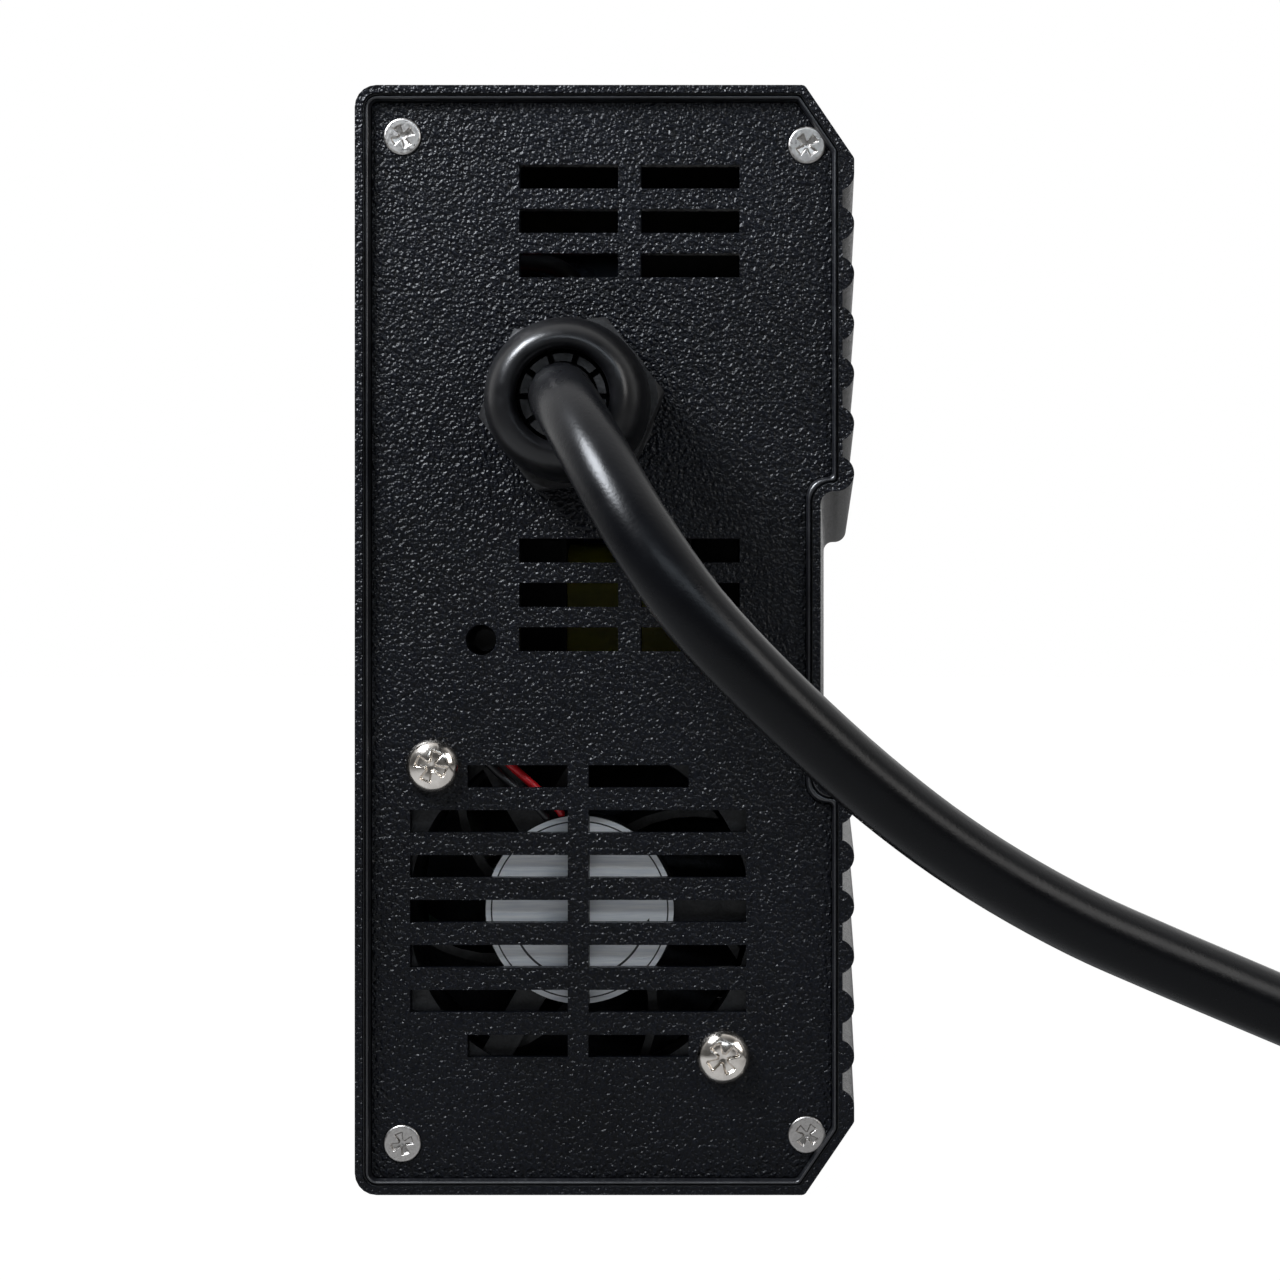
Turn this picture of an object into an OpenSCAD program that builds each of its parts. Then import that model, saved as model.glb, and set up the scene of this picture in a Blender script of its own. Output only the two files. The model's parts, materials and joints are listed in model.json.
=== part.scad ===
// Lithium battery charger, standing on one narrow long side.
// X runs from the flat base side to the ribbed side, Y from the cable end to the mains end, Z up.
// The origin is at the middle of the side that it stands on.

/* [Case] */
// Length of the case from rim to rim
case_l = 230; // [200:1:270]
// Height of the case as it stands
case_h = 152; // [150:0.5:175]
// Depth of the case from the base side to the rib tops
case_w = 68.4; // [66:0.2:80]
// Wall of the sleeve
wall = 2; // [1.6:0.1:2.4]
// Wall of the sleeve between the ribs
ribbed_wall = 1.45; // [1.25:0.05:2]
// Radius of the two corners on the base side
corner_r = 3; // [2.6:0.2:5]
// Width of the chamfers beside the ribs
chamfer_w = 6.8; // [5:0.2:9]
// Height of the chamfers beside the ribs
chamfer_h = 10; // [8:0.5:13]

/* [Ribs and recess] */
// Radius of a rib
rib_r = 2.4; // [2:0.1:2.8]
// How far the ribs stand out
rib_h = 1.6; // [1.2:0.1:2]
// Distance from rib to rib
rib_pitch = 6.85; // [6:0.05:9]
// Height of the smooth recess between the two sets of ribs
recess_h = 40.8; // [34:0.2:50]
// Depth of the recess below the foot of the ribs
recess_d = 3; // [2.2:0.1:3.6]
// Fillet along the edges of the recess
recess_r = 1.8; // [1:0.1:2.2]

/* [Ends] */
// Width of the coated rim around each end
rim_w = 1.05; // [0.8:0.05:1.3]
// How far the end panels lie behind the rim
panel_in = 1.8; // [1.4:0.1:2.6]
// Thickness of the end panels
panel_t = 2.5; // [2:0.1:3]
// Gap around an end panel
panel_gap = 0.1; // [0.05:0.05:0.2]
// Depth of the step that holds a trim frame
trim_d = 3; // [2.6:0.1:3.4]
// How far the bevel of a trim frame runs back
trim_bevel = 0.9; // [0.6:0.1:1.1]
// Distance of the screws from the base side
port_in = 6.3; // [6:0.1:7]
// Height of those screws above the narrow side
port_up = 6.8; // [6.4:0.1:8]
// Distance of the other screws from the rib tops
port_rib_in = 6.5; // [6.3:0.1:7]
// Height of those screws above the narrow side
port_rib_up = 8; // [7.8:0.1:9]
// Radius of a screw port
port_r = 3.1; // [2.8:0.1:3.3]
// Head radius of the end screws
end_head_r = 2.6; // [2.4:0.05:2.8]
// Shank radius of the end screws
end_shank_r = 1.45; // [1.3:0.05:1.5]
// Length of the end screws
end_screw_l = 12; // [8:1:20]

/* [Vents] */
// Length of a vent slot
slot_w = 13.6; // [12:0.1:14.5]
// Height of a vent slot
slot_h = 3.3; // [2.6:0.1:3.6]
// Distance from slot to slot
slot_pitch = 6.1; // [5.4:0.05:6.6]
// Width of the bar between two columns of slots
slot_bar = 3.1; // [2:0.1:4]
// Rows in each vent
vent_rows = 3; // [2:1:4]
// Middle of the vents, from the middle of the case
vent_x = 3.3; // [2:0.1:4]
// Height of the middle vent above half height
mid_vent_up = 6.2; // [4:0.1:8]
// Distance of the upper vent below the top
top_vent_down = 18.4; // [17:0.1:22]
// Radius of the indicator hole
lamp_hole_r = 2.1; // [1.6:0.1:2.6]
// Place of the indicator hole, from the middle of the case towards the base side
lamp_in = 17.1; // [16:0.1:19]

/* [Fan] */
// Width of the fan
fan_w = 50; // [48:0.5:52]
// Thickness of the fan
fan_t = 15; // [14:0.5:20]
// Distance between the fan's screw holes
fan_pitch = 40; // [39:0.5:41]
// Radius of the fan's duct
duct_r = 23.6; // [22.8:0.1:23.6]
// Tip radius of the blades
tip_r = 22.8; // [20:0.1:22.8]
// Radius of the rotor's cup
cup_r = 13.2; // [12.6:0.1:14]
// Number of blades
blade_n = 7; // [5:1:9]
// Turn of a blade along the fan
blade_twist = 44; // [30:1:55]
// Middle of the fan, from the middle of the case towards the base side
fan_in = 3.75; // [3:0.05:4.5]
// Height of the fan's middle
fan_up = 38.7; // [37:0.1:40]
// Height of a slot in the fan grille
grille_h = 3.1; // [2.4:0.1:3.4]
// Distance from row to row of the fan grille
grille_pitch = 6.18; // [5.4:0.02:6.3]
// Width of the grille's middle bar
grille_bar = 2.85; // [2:0.05:4]
// Half the width of the long rows
long_half = 23.1; // [21:0.1:23.4]
// Half the width of the first and last rows
short_half = 15.2; // [12:0.1:15.6]
// Head radius of the fan screws
fan_head_r = 3.7; // [3.2:0.1:3.9]
// Shank radius of the fan screws
fan_shank_r = 1.95; // [1.7:0.05:2]

/* [Cable gland] */
// Place of the gland, from the middle of the case towards the base side
gland_in = 4.3; // [3:0.1:6]
// Height of the gland above half height
gland_up = 32.1; // [30.5:0.1:33.5]
// Radius of the gland's thread
gland_r = 9.25; // [8.8:0.05:9.6]
// Width of the gland's hexagon across its flats
gland_hex = 22; // [21:0.5:24]
// Thickness of the hexagon
gland_hex_t = 5; // [4:0.5:6]
// Radius of the dome nut
dome_r = 10.9; // [10.6:0.1:11.4]
// Length of the dome nut
dome_l = 14; // [13.6:0.1:16]
// Radius of the mouth of the dome nut
mouth_r = 6.2; // [5.9:0.1:6.6]

/* [Output lead] */
// Radius of the output lead
lead_r = 4.3; // [4:0.05:4.4]
// Middle radius of the coil
coil_r = 48; // [46:0.5:56]
// Thickness of the strap around the coil
tie_t = 0.8; // [0.5:0.1:1]
// Width of the strap, as an angle along the coil
tie_angle = 13; // [8:1:20]
// Width of the connector
plug_w = 24; // [22:0.5:26]
// Height of the connector
plug_h = 16; // [15:0.5:18]
// Length of the connector
plug_l = 36; // [32:1:42]
// Length of the connector's boot
boot_l = 28; // [24:1:34]

/* [Mains inlet] */
// Width of the inlet's flange
inlet_flange_w = 50; // [48:0.5:52]
// Height of the inlet's flange
inlet_flange_h = 27; // [26:0.5:30]
// Width of the inlet's socket
socket_w = 24.4; // [24:0.1:25]
// Height of the inlet's socket
socket_h = 16.4; // [16:0.1:17]
// Depth of the inlet's socket
socket_d = 17; // [16:0.5:19]
// Wall around the socket
socket_wall = 2.2; // [1.6:0.1:2.6]
// Distance between the inlet's screws
inlet_pitch = 40; // [39:0.5:42]
// Height of the middle of the inlet
inlet_up = 32; // [28:0.5:36]

/* [Circuit board] */
// Thickness of the board
board_t = 1.6; // [1.2:0.1:2]
// Height of the standoffs under the board
standoff_h = 5.4; // [4:0.1:7]
// Distance of the board's edges from the narrow sides
board_edge = 11.5; // [11:0.5:16]
// Length of the transformer's winding along the board
winding_l = 30; // [24:1:34]
// Height of the transformer's winding off the board
winding_h = 19.4; // [16:0.2:20]
// Radius of a mains capacitor
bulk_r = 11; // [9:0.5:11.5]
// Height of a mains capacitor
bulk_h = 36; // [28:1:38]
// Height of the heat sinks off the board
sink_h = 33; // [26:1:36]
// Thickness of the heat sinks
sink_t = 3; // [2:0.5:4]

/* [Hidden] */
$fn = 48;

hw = case_w / 2;
hl = case_l / 2;
mid = case_h / 2;
base_x = hw - rib_h;
floor_x = base_x - recess_d;
trim_w = wall - rim_w;
ribbed_rim = max(ribbed_wall - trim_w, 0.3);
shoulder_r = 0.6;
front_y = -hl + panel_in;
rear_y = hl - panel_in;
front_back = front_y + panel_t;
rear_back = rear_y - panel_t;
rib_n = floor((mid - chamfer_h - recess_h / 2 - rib_r) / rib_pitch) + 1;
arc_n = 5;
cut = 1;
clearance = 0.05;
head_h = 1.4;
fan_head_h = 2.5;

// Straight lines and arcs

function unit(v) = v / norm(v);
function turned(v, a) = [v[0] * cos(a) - v[1] * sin(a), v[0] * sin(a) + v[1] * cos(a)];

// Points of one rounded corner between the edges from p to q and from q to s
function corner(p, q, s, r) =
  let (
    u = unit(p - q),
    v = unit(s - q),
    half = acos(u * v) / 2,
    centre = q + unit(u + v) * r / sin(half),
    start = q + u * r / tan(half) - centre,
    side = sign(cross([for (k = [0:1]) q[k] - p[k]], [for (k = [0:1]) s[k] - q[k]])),
    sweep = side * (180 - 2 * half)
  )
  [for (k = [0:arc_n]) centre + turned(start, sweep * k / arc_n)];

// An outline from corners, each given as [x, z, radius]
function rounded(c) =
  let (n = len(c), p = [for (q = c) [q[0], q[1]]])
  [for (i = [0:n - 1]) each corner(p[(i + n - 1) % n], p[i], p[(i + 1) % n], c[i][2])];

// The outline of the case, moved inwards by d, and by e along the ribbed side
function case_outline(d, e) =
  let (
    left = -hw + d,
    right = base_x - e,
    deep = floor_x - d,
    slope = unit([chamfer_h, chamfer_w]),
    reach = slope * [hw - chamfer_w, case_h] - d,
    top = case_h - d,
    chamfer_z = (reach - slope[0] * right) / slope[1],
    chamfer_x = (reach - slope[1] * top) / slope[0],
    shoulder = recess_h / 2 + d,
    fillet = min(recess_r + d, right - deep - shoulder_r - 0.1),
    round_r = max(corner_r - d, 0.5)
  )
  rounded([
    [left, d, round_r],
    [chamfer_x, d, 0.8],
    [right, case_h - chamfer_z, 1],
    [right, mid - shoulder, shoulder_r],
    [deep, mid - shoulder, fillet],
    [deep, mid + shoulder, fillet],
    [right, mid + shoulder, shoulder_r],
    [right, chamfer_z, 1],
    [chamfer_x, top, 0.8],
    [left, top, round_r]
  ]);

// Middles of the four screws of an end panel
ports = [
  [-hw + port_in, port_up],
  [hw - port_rib_in, port_rib_up],
  [hw - port_rib_in, case_h - port_rib_up],
  [-hw + port_in, case_h - port_up]
];

// Extrudes a shape drawn in X and Z from y0 to y1
module along_y(y0, y1) {
  translate([0, y1, 0])
    rotate([90, 0, 0])
      linear_extrude(y1 - y0)
        children();
}

// Turns a piece that is drawn along Z, so that it points out of the front or the rear panel
module out_of_front(p, y = front_y) {
  translate([p[0], y, p[1]])
    rotate([90, 0, 0])
      children();
}
module out_of_rear(p, y = rear_y) {
  translate([p[0], y, p[1]])
    rotate([-90, 0, 0])
      children();
}

// A closed solid through loops of points, the last loop joined to the first
module looped(loops) {
  m = len(loops);
  n = len(loops[0]);
  polyhedron(
    points = [for (l = loops) each l],
    faces = [
      for (i = [0:m - 1], j = [0:n - 1])
        let (
          a = i * n,
          b = (i + 1) % m * n,
          k = (j + 1) % n
        )
        each [[a + j, b + j, b + k], [a + j, b + k, a + k]]
    ]
  );
}

// A round tube along a list of points
function carried(t, v, i = 0) =
  i == len(t) ? [] : let (m = unit(v - (v * t[i]) * t[i])) concat([m], carried(t, m, i + 1));
module swept(path, r, sides = 8) {
  last = len(path) - 1;
  heading = [for (i = [0:last]) unit(path[min(i + 1, last)] - path[max(i - 1, 0)])];
  across = carried(heading, [0.36, 0.48, 0.8]);
  points = [
    for (i = [0:last], k = [0:sides - 1])
      let (a = 360 * k / sides)
      path[i] + r * (cos(a) * across[i] + sin(a) * cross(heading[i], across[i]))
  ];
  polyhedron(
    points = points,
    faces = concat(
      [[for (k = [0:sides - 1]) k]],
      [[for (k = [sides - 1:-1:0]) last * sides + k]],
      [
        for (i = [0:last - 1], k = [0:sides - 1])
          let (
            a = i * sides,
            b = a + sides,
            m = (k + 1) % sides
          )
          each [[a + k, b + k, b + m], [a + k, b + m, a + m]]
      ]
    )
  );
}

// Case

function rib_z(k) = mid + recess_h / 2 + rib_r + k * rib_pitch;
function chamfer_at(x) = case_h - chamfer_h * (x - (hw - chamfer_w)) / chamfer_w;

module upper_ribs() {
  for (k = [0:rib_n - 1])
    translate([hw - rib_r, rib_z(k)])
      circle(rib_r);
  // The first rib runs on into the chamfer
  polygon(rounded([
    [base_x - cut, rib_z(rib_n - 1), 0.1],
    [hw, rib_z(rib_n - 1), 0.1],
    [hw, case_h - chamfer_h, 0.8],
    [base_x - cut, chamfer_at(base_x - cut), 0.1]
  ]));
}

module port_webs() {
  for (side = [0, 1])
    translate([-hw + port_in, side == 0 ? port_up : case_h - port_up])
      rotate(atan2(side == 0 ? -port_up : port_up, -port_in))
        translate([0, -1.1])
          square([norm([port_in, port_up]) - corner_r * 0.6, 2.2]);
}

module case_shell() {
  color("#1b1c1f")
    difference() {
      along_y(-hl, hl)
        difference() {
          union() {
            intersection() {
              polygon(case_outline(0, 0));
              union() {
                difference() {
                  polygon(case_outline(0, 0));
                  polygon(case_outline(wall, ribbed_wall));
                }
                for (p = ports)
                  translate(p)
                    circle(port_r);
                port_webs();
              }
            }
            upper_ribs();
            translate([0, case_h])
              mirror([0, 1])
                upper_ribs();
          }
          for (p = ports)
            translate(p)
              circle(end_shank_r + clearance);
        }
      for (y = [[-hl - cut, front_back], [rear_back, hl + cut]])
        along_y(y[0], y[1])
          polygon(case_outline(wall, ribbed_wall));
      for (y = [[-hl - cut, -hl + trim_d], [hl - trim_d, hl + cut]])
        along_y(y[0], y[1])
          polygon(case_outline(rim_w, ribbed_rim));
    }
}

function ring(outline, y) = [for (p = outline) [p[0], y, p[1]]];

module trim_frame(end) {
  outer = case_outline(rim_w, ribbed_rim);
  inner = case_outline(wall, ribbed_wall);
  loops = [
    ring(outer, end * (hl - trim_d)),
    ring(outer, end * (hl - 0.5)),
    ring(inner, end * (hl - 0.5 - trim_bevel)),
    ring(inner, end * (hl - trim_d))
  ];
  looped(end < 0 ? loops : [for (k = [3:-1:0]) loops[k]]);
}
module head_room(y0, y1) {
  along_y(y0, y1)
    for (p = ports)
      translate(p)
        circle(end_head_r + 0.15);
}
module front_trim() {
  color("#14161c")
    difference() {
      trim_frame(-1);
      head_room(-hl - cut, -hl + trim_d + cut);
    }
}
module rear_trim() {
  color("#14161c")
    difference() {
      trim_frame(1);
      head_room(hl - trim_d - cut, hl + cut);
    }
}

// End panels

panel_outline = case_outline(wall + panel_gap, ribbed_wall + panel_gap);
fan_at = [-fan_in, fan_up];
gland_at = [-gland_in, mid + gland_up];
lamp_at = [-lamp_in, mid];

module slot_pair(x, z, w, h, bar) {
  for (side = [-1, 1])
    translate([x + side * (bar + w) / 2, z])
      square([w, h], center = true);
}
module vent(z, rows) {
  for (k = [0:rows - 1])
    slot_pair(vent_x, z + (k - (rows - 1) / 2) * slot_pitch, slot_w, slot_h, slot_bar);
}
module fan_grille() {
  for (k = [-3:3]) {
    half = abs(k) == 3 ? short_half : long_half;
    slot_pair(fan_at[0], fan_at[1] + k * grille_pitch, half - grille_bar / 2, grille_h, grille_bar);
  }
}
fan_screws_at = [fan_at + fan_pitch / 2 * [-1, 1], fan_at + fan_pitch / 2 * [1, -1]];

module front_panel() {
  color("#17181b")
    difference() {
      along_y(front_y, front_back)
        difference() {
          polygon(panel_outline);
          vent(mid + mid_vent_up, vent_rows);
          vent(case_h - top_vent_down, vent_rows);
          fan_grille();
          translate(lamp_at)
            circle(lamp_hole_r);
          translate(gland_at)
            circle(gland_r + clearance);
          for (p = fan_screws_at)
            translate(p)
              circle(fan_shank_r + 0.15);
          for (p = ports)
            translate(p)
              circle(end_shank_r + 0.2);
        }
      for (p = ports)
        translate([p[0], front_y, p[1]])
          rotate([-90, 0, 0])
            translate([0, 0, -0.01])
              cylinder(h = head_h, r1 = end_head_r + clearance, r2 = end_shank_r + clearance);
    }
}

inlet_at = [-1, inlet_up];
inlet_w = socket_w + 2 * socket_wall;
inlet_h = socket_h + 2 * socket_wall;
rear_rows = 11;
rear_slot_w = 20;
rear_vent_x = -3;

module inlet_screw_places() {
  for (side = [-1, 1])
    translate([inlet_at[0] + side * inlet_pitch / 2, inlet_at[1]])
      children();
}

module rear_panel() {
  color("#17181b")
    difference() {
      along_y(rear_back, rear_y)
        difference() {
          polygon(panel_outline);
          for (k = [0:rear_rows - 1])
            slot_pair(
              rear_vent_x, case_h - top_vent_down + (1 - k) * slot_pitch,
              rear_slot_w, slot_h, slot_bar
            );
          translate(inlet_at)
            square([inlet_w + 0.4, inlet_h + 0.4], center = true);
          inlet_screw_places()
            circle(end_shank_r + 0.2);
          for (p = ports)
            translate(p)
              circle(end_shank_r + 0.2);
        }
      for (p = ports)
        translate([p[0], rear_y, p[1]])
          rotate([90, 0, 0])
            translate([0, 0, -0.01])
              cylinder(h = head_h, r1 = end_head_r + clearance, r2 = end_shank_r + clearance);
    }
}

// Screws, drawn with the shank along -Z and the top of the head at zero

module cross_recess(width, depth) {
  middle = width * 0.11;
  end = width * 0.18;
  for (a = [45, 135])
    rotate(a)
      translate([0, 0, -depth])
        linear_extrude(depth + cut)
          polygon([
            [-width / 2, -end], [0, -middle], [width / 2, -end],
            [width / 2, end], [0, middle], [-width / 2, end]
          ]);
}
module countersunk_screw(length) {
  difference() {
    union() {
      translate([0, 0, -head_h])
        cylinder(h = head_h, r1 = end_shank_r, r2 = end_head_r);
      cylinder(h = 0.15, r1 = end_head_r, r2 = end_head_r - 0.1);
      translate([0, 0, -length])
        cylinder(h = length, r = end_shank_r);
    }
    cross_recess(end_head_r * 1.16, 0.9);
  }
}
module pan_screw(head_r, shank_r, head, length) {
  difference() {
    union() {
      rotate_extrude()
        polygon(concat(
          [[0, 0], [head_r * 0.94, 0]],
          [for (a = [0:15:90]) [head_r * (0.72 + 0.28 * cos(a)), head * (0.3 + 0.7 * sin(a))]],
          [[0, head]]
        ));
      translate([0, 0, -length])
        cylinder(h = length + 0.1, r = shank_r);
    }
    translate([0, 0, head])
      rotate(22)
        cross_recess(head_r * 1.24, head * 0.7);
  }
}
module front_panel_screws() {
  color("#a9a9ab")
    for (p = ports)
      out_of_front(p)
        countersunk_screw(end_screw_l);
}
module rear_panel_screws() {
  color("#a9a9ab")
    for (p = ports)
      out_of_rear(p)
        countersunk_screw(end_screw_l);
}
module fan_screws() {
  color("#c9c4bd")
    for (p = fan_screws_at)
      out_of_front(p)
        pan_screw(fan_head_r, fan_shank_r, fan_head_h, panel_t + fan_t - cut);
}

// Fan, whose front face lies against the back of the front panel

hub_r = 13;
strut_y = 1.5;
strut_t = 1.5;
hub_y = 0.4;
hub_t = 1.5;
cup_y = 3.3;
cup_wall = 1.2;
cup_back = fan_t - 1.4;
bearing_r = 2.2;
shaft_r = 1;
tube_r = 3.2;
magnet_t = 0.9;
coil_out = cup_r - cup_wall - magnet_t - 0.6;

module fan_layer(y0, y1) {
  along_y(front_back + y0, front_back + y1)
    translate(fan_at)
      children();
}
module fan_flange() {
  difference() {
    polygon(rounded([for (c = [[-1, -1], [1, -1], [1, 1], [-1, 1]]) [c[0] * fan_w / 2, c[1] * fan_w / 2, 3]]));
    circle(duct_r);
    for (x = [-1, 1], z = [-1, 1])
      translate([x, z] * fan_pitch / 2)
        circle(fan_shank_r + clearance);
  }
}
module fan_frame() {
  color("#101113")
    difference() {
      union() {
        fan_layer(0, 3.2)
          fan_flange();
        fan_layer(fan_t - 3.2, fan_t)
          fan_flange();
        fan_layer(3.2, fan_t - 3.2)
          difference() {
            union() {
              circle(fan_w / 2);
              for (x = [-1, 1], z = [-1, 1])
                translate([x, z] * fan_pitch / 2)
                  circle(fan_shank_r + 1.4);
            }
            circle(duct_r);
            for (x = [-1, 1], z = [-1, 1])
              translate([x, z] * fan_pitch / 2)
                circle(fan_shank_r + clearance);
          }
        fan_layer(strut_y, strut_y + strut_t)
          for (a = [0, 120, 240])
            rotate(a)
              translate([hub_r - 1, -2])
                square([duct_r - hub_r + 1.4, 4]);
        fan_layer(hub_y, hub_y + hub_t)
          circle(hub_r);
        fan_layer(hub_y + hub_t - 0.1, cup_back - cup_wall - 0.8)
          difference() {
            circle(tube_r);
            circle(bearing_r);
          }
      }
      // A notch lets the wires out over the rim
      fan_layer(-cut, 2.3)
        difference() {
          translate([-17.8, 16])
            square([8.4, fan_w / 2 - 15]);
          circle(duct_r);
        }
    }
}
module fan_blade() {
  polygon(concat(
    [for (k = [0:4]) let (r = cup_r - 0.4 + (tip_r - cup_r + 0.4) * k / 4) turned([r, 0.8], -6 * k)],
    [for (k = [4:-1:0]) let (r = cup_r - 0.4 + (tip_r - cup_r + 0.4) * k / 4) turned([r, -0.8], -6 * k)]
  ));
}
module fan_impeller() {
  color("#15161a")
    difference() {
      union() {
        fan_layer(cup_y, cup_back)
          circle(cup_r);
        for (k = [0:blade_n - 1])
          translate([fan_at[0], front_back + cup_back - 0.2, fan_at[1]])
            rotate([90, 0, 0])
              rotate(360 * k / blade_n)
                linear_extrude(cup_back - cup_y - 0.4, twist = blade_twist, slices = 8)
                  fan_blade();
      }
      fan_layer(cup_y - cut, cup_back - cup_wall)
        circle(cup_r - cup_wall);
      fan_layer(cup_y, cup_back + cut)
        circle(shaft_r);
    }
}
module fan_magnet_ring() {
  color("#4a4642")
    fan_layer(cup_y + 0.4, cup_back - cup_wall - 1)
      difference() {
        circle(cup_r - cup_wall);
        circle(cup_r - cup_wall - magnet_t);
      }
}
module fan_shaft() {
  color("#b9bbbe")
    fan_layer(hub_y + hub_t + 0.6, cup_back)
      circle(shaft_r);
}
module fan_bearing() {
  color("#a5803f")
    fan_layer(hub_y + hub_t, cup_back - cup_wall - 0.8)
      difference() {
        circle(bearing_r);
        circle(shaft_r + 0.03);
      }
}
module fan_stator() {
  color("#6d7075")
    fan_layer(cup_y + 1.2, cup_back - cup_wall - 1.8)
      difference() {
        union() {
          circle(tube_r + 1.8);
          for (a = [45:90:315])
            rotate(a) {
              translate([tube_r + 1, -1.2])
                square([coil_out - tube_r - 1.4, 2.4]);
              intersection() {
                difference() {
                  circle(coil_out);
                  circle(coil_out - 1.2);
                }
                polygon([[0, 0], [coil_out, -coil_out * 0.72], [coil_out * 1.5, 0], [coil_out, coil_out * 0.72]]);
              }
            }
        }
        circle(tube_r);
      }
}
module fan_coils() {
  color("#b5652d")
    fan_layer(cup_y + 0.8, cup_back - cup_wall - 1.4)
      for (a = [45:90:315])
        rotate(a)
          for (side = [-1, 1])
            translate([tube_r + 2.2, side * 1.9 - 0.7])
              square([coil_out - tube_r - 3.8, 1.4]);
}
module fan_label() {
  color("#b9c0cb")
    fan_layer(hub_y - 0.15, hub_y)
      circle(hub_r);
}

// The fan's two wires run along the upper strut, out over the rim and down to the board
fan_wire_r = 0.65;
function fan_wire_path(side) =
  let (
    y = front_back + 0.75,
    out = unit([-3.6 + side * 1.1, 12.8]),
    start = fan_at + (hub_r + 0.05) * out,
    next = fan_at + (hub_r + 1.2) * out
  )
  [
    [start[0], y, start[1]],
    [next[0], y, next[1]],
    [fan_at[0] - 8 + side * 1.5, y, fan_at[1] + 17.2],
    [fan_at[0] - 12.4 + side * 1.4, y, fan_at[1] + 21.2],
    [fan_at[0] - 15.3 + side * 1.2, y, fan_at[1] + fan_w / 2 - 0.4],
    [fan_at[0] - 16.9 + side * 1.1, y + 2.6, fan_at[1] + fan_w / 2 + 2.2],
    [board_x1 + 3.6 + side * 1.1, y + 8, fan_at[1] + fan_w / 2 + 2.8],
    [board_x1 + 3.4 + side * 1.1, board_y0 + 1.6, fan_at[1] + fan_w / 2 + 2.6],
    [board_x1 + 2 + side * 0.6, board_y0 + 3.4, fan_at[1] + fan_w / 2 + 2.6 + side],
    [board_x1 + 1, board_y0 + 3.8, fan_at[1] + fan_w / 2 + 2.6 + side * 1.3],
    [board_x1, board_y0 + 3.8, fan_at[1] + fan_w / 2 + 2.6 + side * 1.3]
  ];
module fan_wire_red() {
  color("#c4161f")
    swept(fan_wire_path(1), fan_wire_r);
}
module fan_wire_black() {
  color("#2a2a2c")
    swept(fan_wire_path(-1), fan_wire_r);
}

// Cable gland, drawn outwards from the face of the front panel

washer_t = 1.2;
hex_end = washer_t + gland_hex_t;
thread_end = hex_end + 7;
dome_y = hex_end + 0.4;
dome_end = dome_y + dome_l;
gland_bore = lead_r + 1.7;
stub_l = 7;
nut_hex = gland_hex + 2;
lock_t = 4.6;

module gland_washer() {
  color("#26272a")
    out_of_front(gland_at)
      difference() {
        cylinder(h = washer_t, r = gland_hex / 2 + 0.2);
        translate([0, 0, -cut])
          cylinder(h = washer_t + 2 * cut, r = gland_r + clearance);
      }
}
module hexagon(flats, h) {
  intersection() {
    cylinder(h = h, r = flats / 2 / cos(30), $fn = 6);
    rotate_extrude()
      polygon([
        [0, 0],
        [flats / 2 + 0.9, 0],
        [flats / 2 / cos(30), 0.9],
        [flats / 2 / cos(30), h - 0.9],
        [flats / 2 + 0.9, h],
        [0, h]
      ]);
  }
}
module gland_body() {
  color("#232427")
    out_of_front(gland_at)
      difference() {
        union() {
          translate([0, 0, washer_t])
            rotate(8)
              hexagon(gland_hex, gland_hex_t);
          translate([0, 0, -panel_t - stub_l])
            cylinder(h = panel_t + stub_l + washer_t + cut, r = gland_r);
          translate([0, 0, hex_end - cut])
            cylinder(h = thread_end - hex_end + cut, r = gland_r - 0.55);
          // Claws that the nut presses onto the lead
          difference() {
            translate([0, 0, thread_end - 0.1])
              cylinder(h = dome_end - thread_end - 2, r1 = gland_bore + 1, r2 = mouth_r - 0.5);
            for (a = [0:36:144])
              rotate(a)
                translate([-gland_r, -0.4, thread_end])
                  cube([2 * gland_r, 0.8, dome_l]);
          }
        }
        translate([0, 0, -panel_t - stub_l - cut])
          cylinder(h = panel_t + stub_l + thread_end + cut, r = gland_bore);
        translate([0, 0, thread_end - 0.11])
          cylinder(h = dome_end - thread_end - 1.8, r1 = gland_bore, r2 = lead_r + 0.3);
      }
}
module gland_seal() {
  color("#2e2f31")
    out_of_front(gland_at)
      difference() {
        translate([0, 0, thread_end - 8])
          cylinder(h = 7.8, r = gland_bore);
        translate([0, 0, thread_end - 9])
          cylinder(h = 10, r = lead_r);
      }
}
module gland_dome_nut() {
  color("#0f1013")
    out_of_front(gland_at)
      rotate_extrude($fn = 72)
        polygon(concat(
          [[gland_r - 0.5, dome_y], [dome_r - 0.5, dome_y], [dome_r, dome_y + 0.5]],
          [
            for (a = [0:9:90])
              [
                mouth_r + 1.2 + (dome_r - mouth_r - 1.2) * cos(a),
                dome_end - 7.4 + 7.4 * sin(a)
              ]
          ],
          [for (a = [90:-22.5:0]) [mouth_r + 1.2 - 1.2 * cos(a), dome_end - 1.2 + 1.2 * sin(a)]],
          [[mouth_r, dome_end - 1.8], [gland_r - 0.5, thread_end + 0.4]]
        ));
}
module gland_lock_nut() {
  color("#232427")
    out_of_front(gland_at)
      difference() {
        translate([0, 0, -panel_t - lock_t])
          hexagon(nut_hex, lock_t);
        translate([0, 0, -panel_t - lock_t - cut])
          cylinder(h = lock_t + 2 * cut, r = gland_r + clearance);
      }
}

// Output lead: from inside the gland, out in front of the panel and down to the coil

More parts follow.
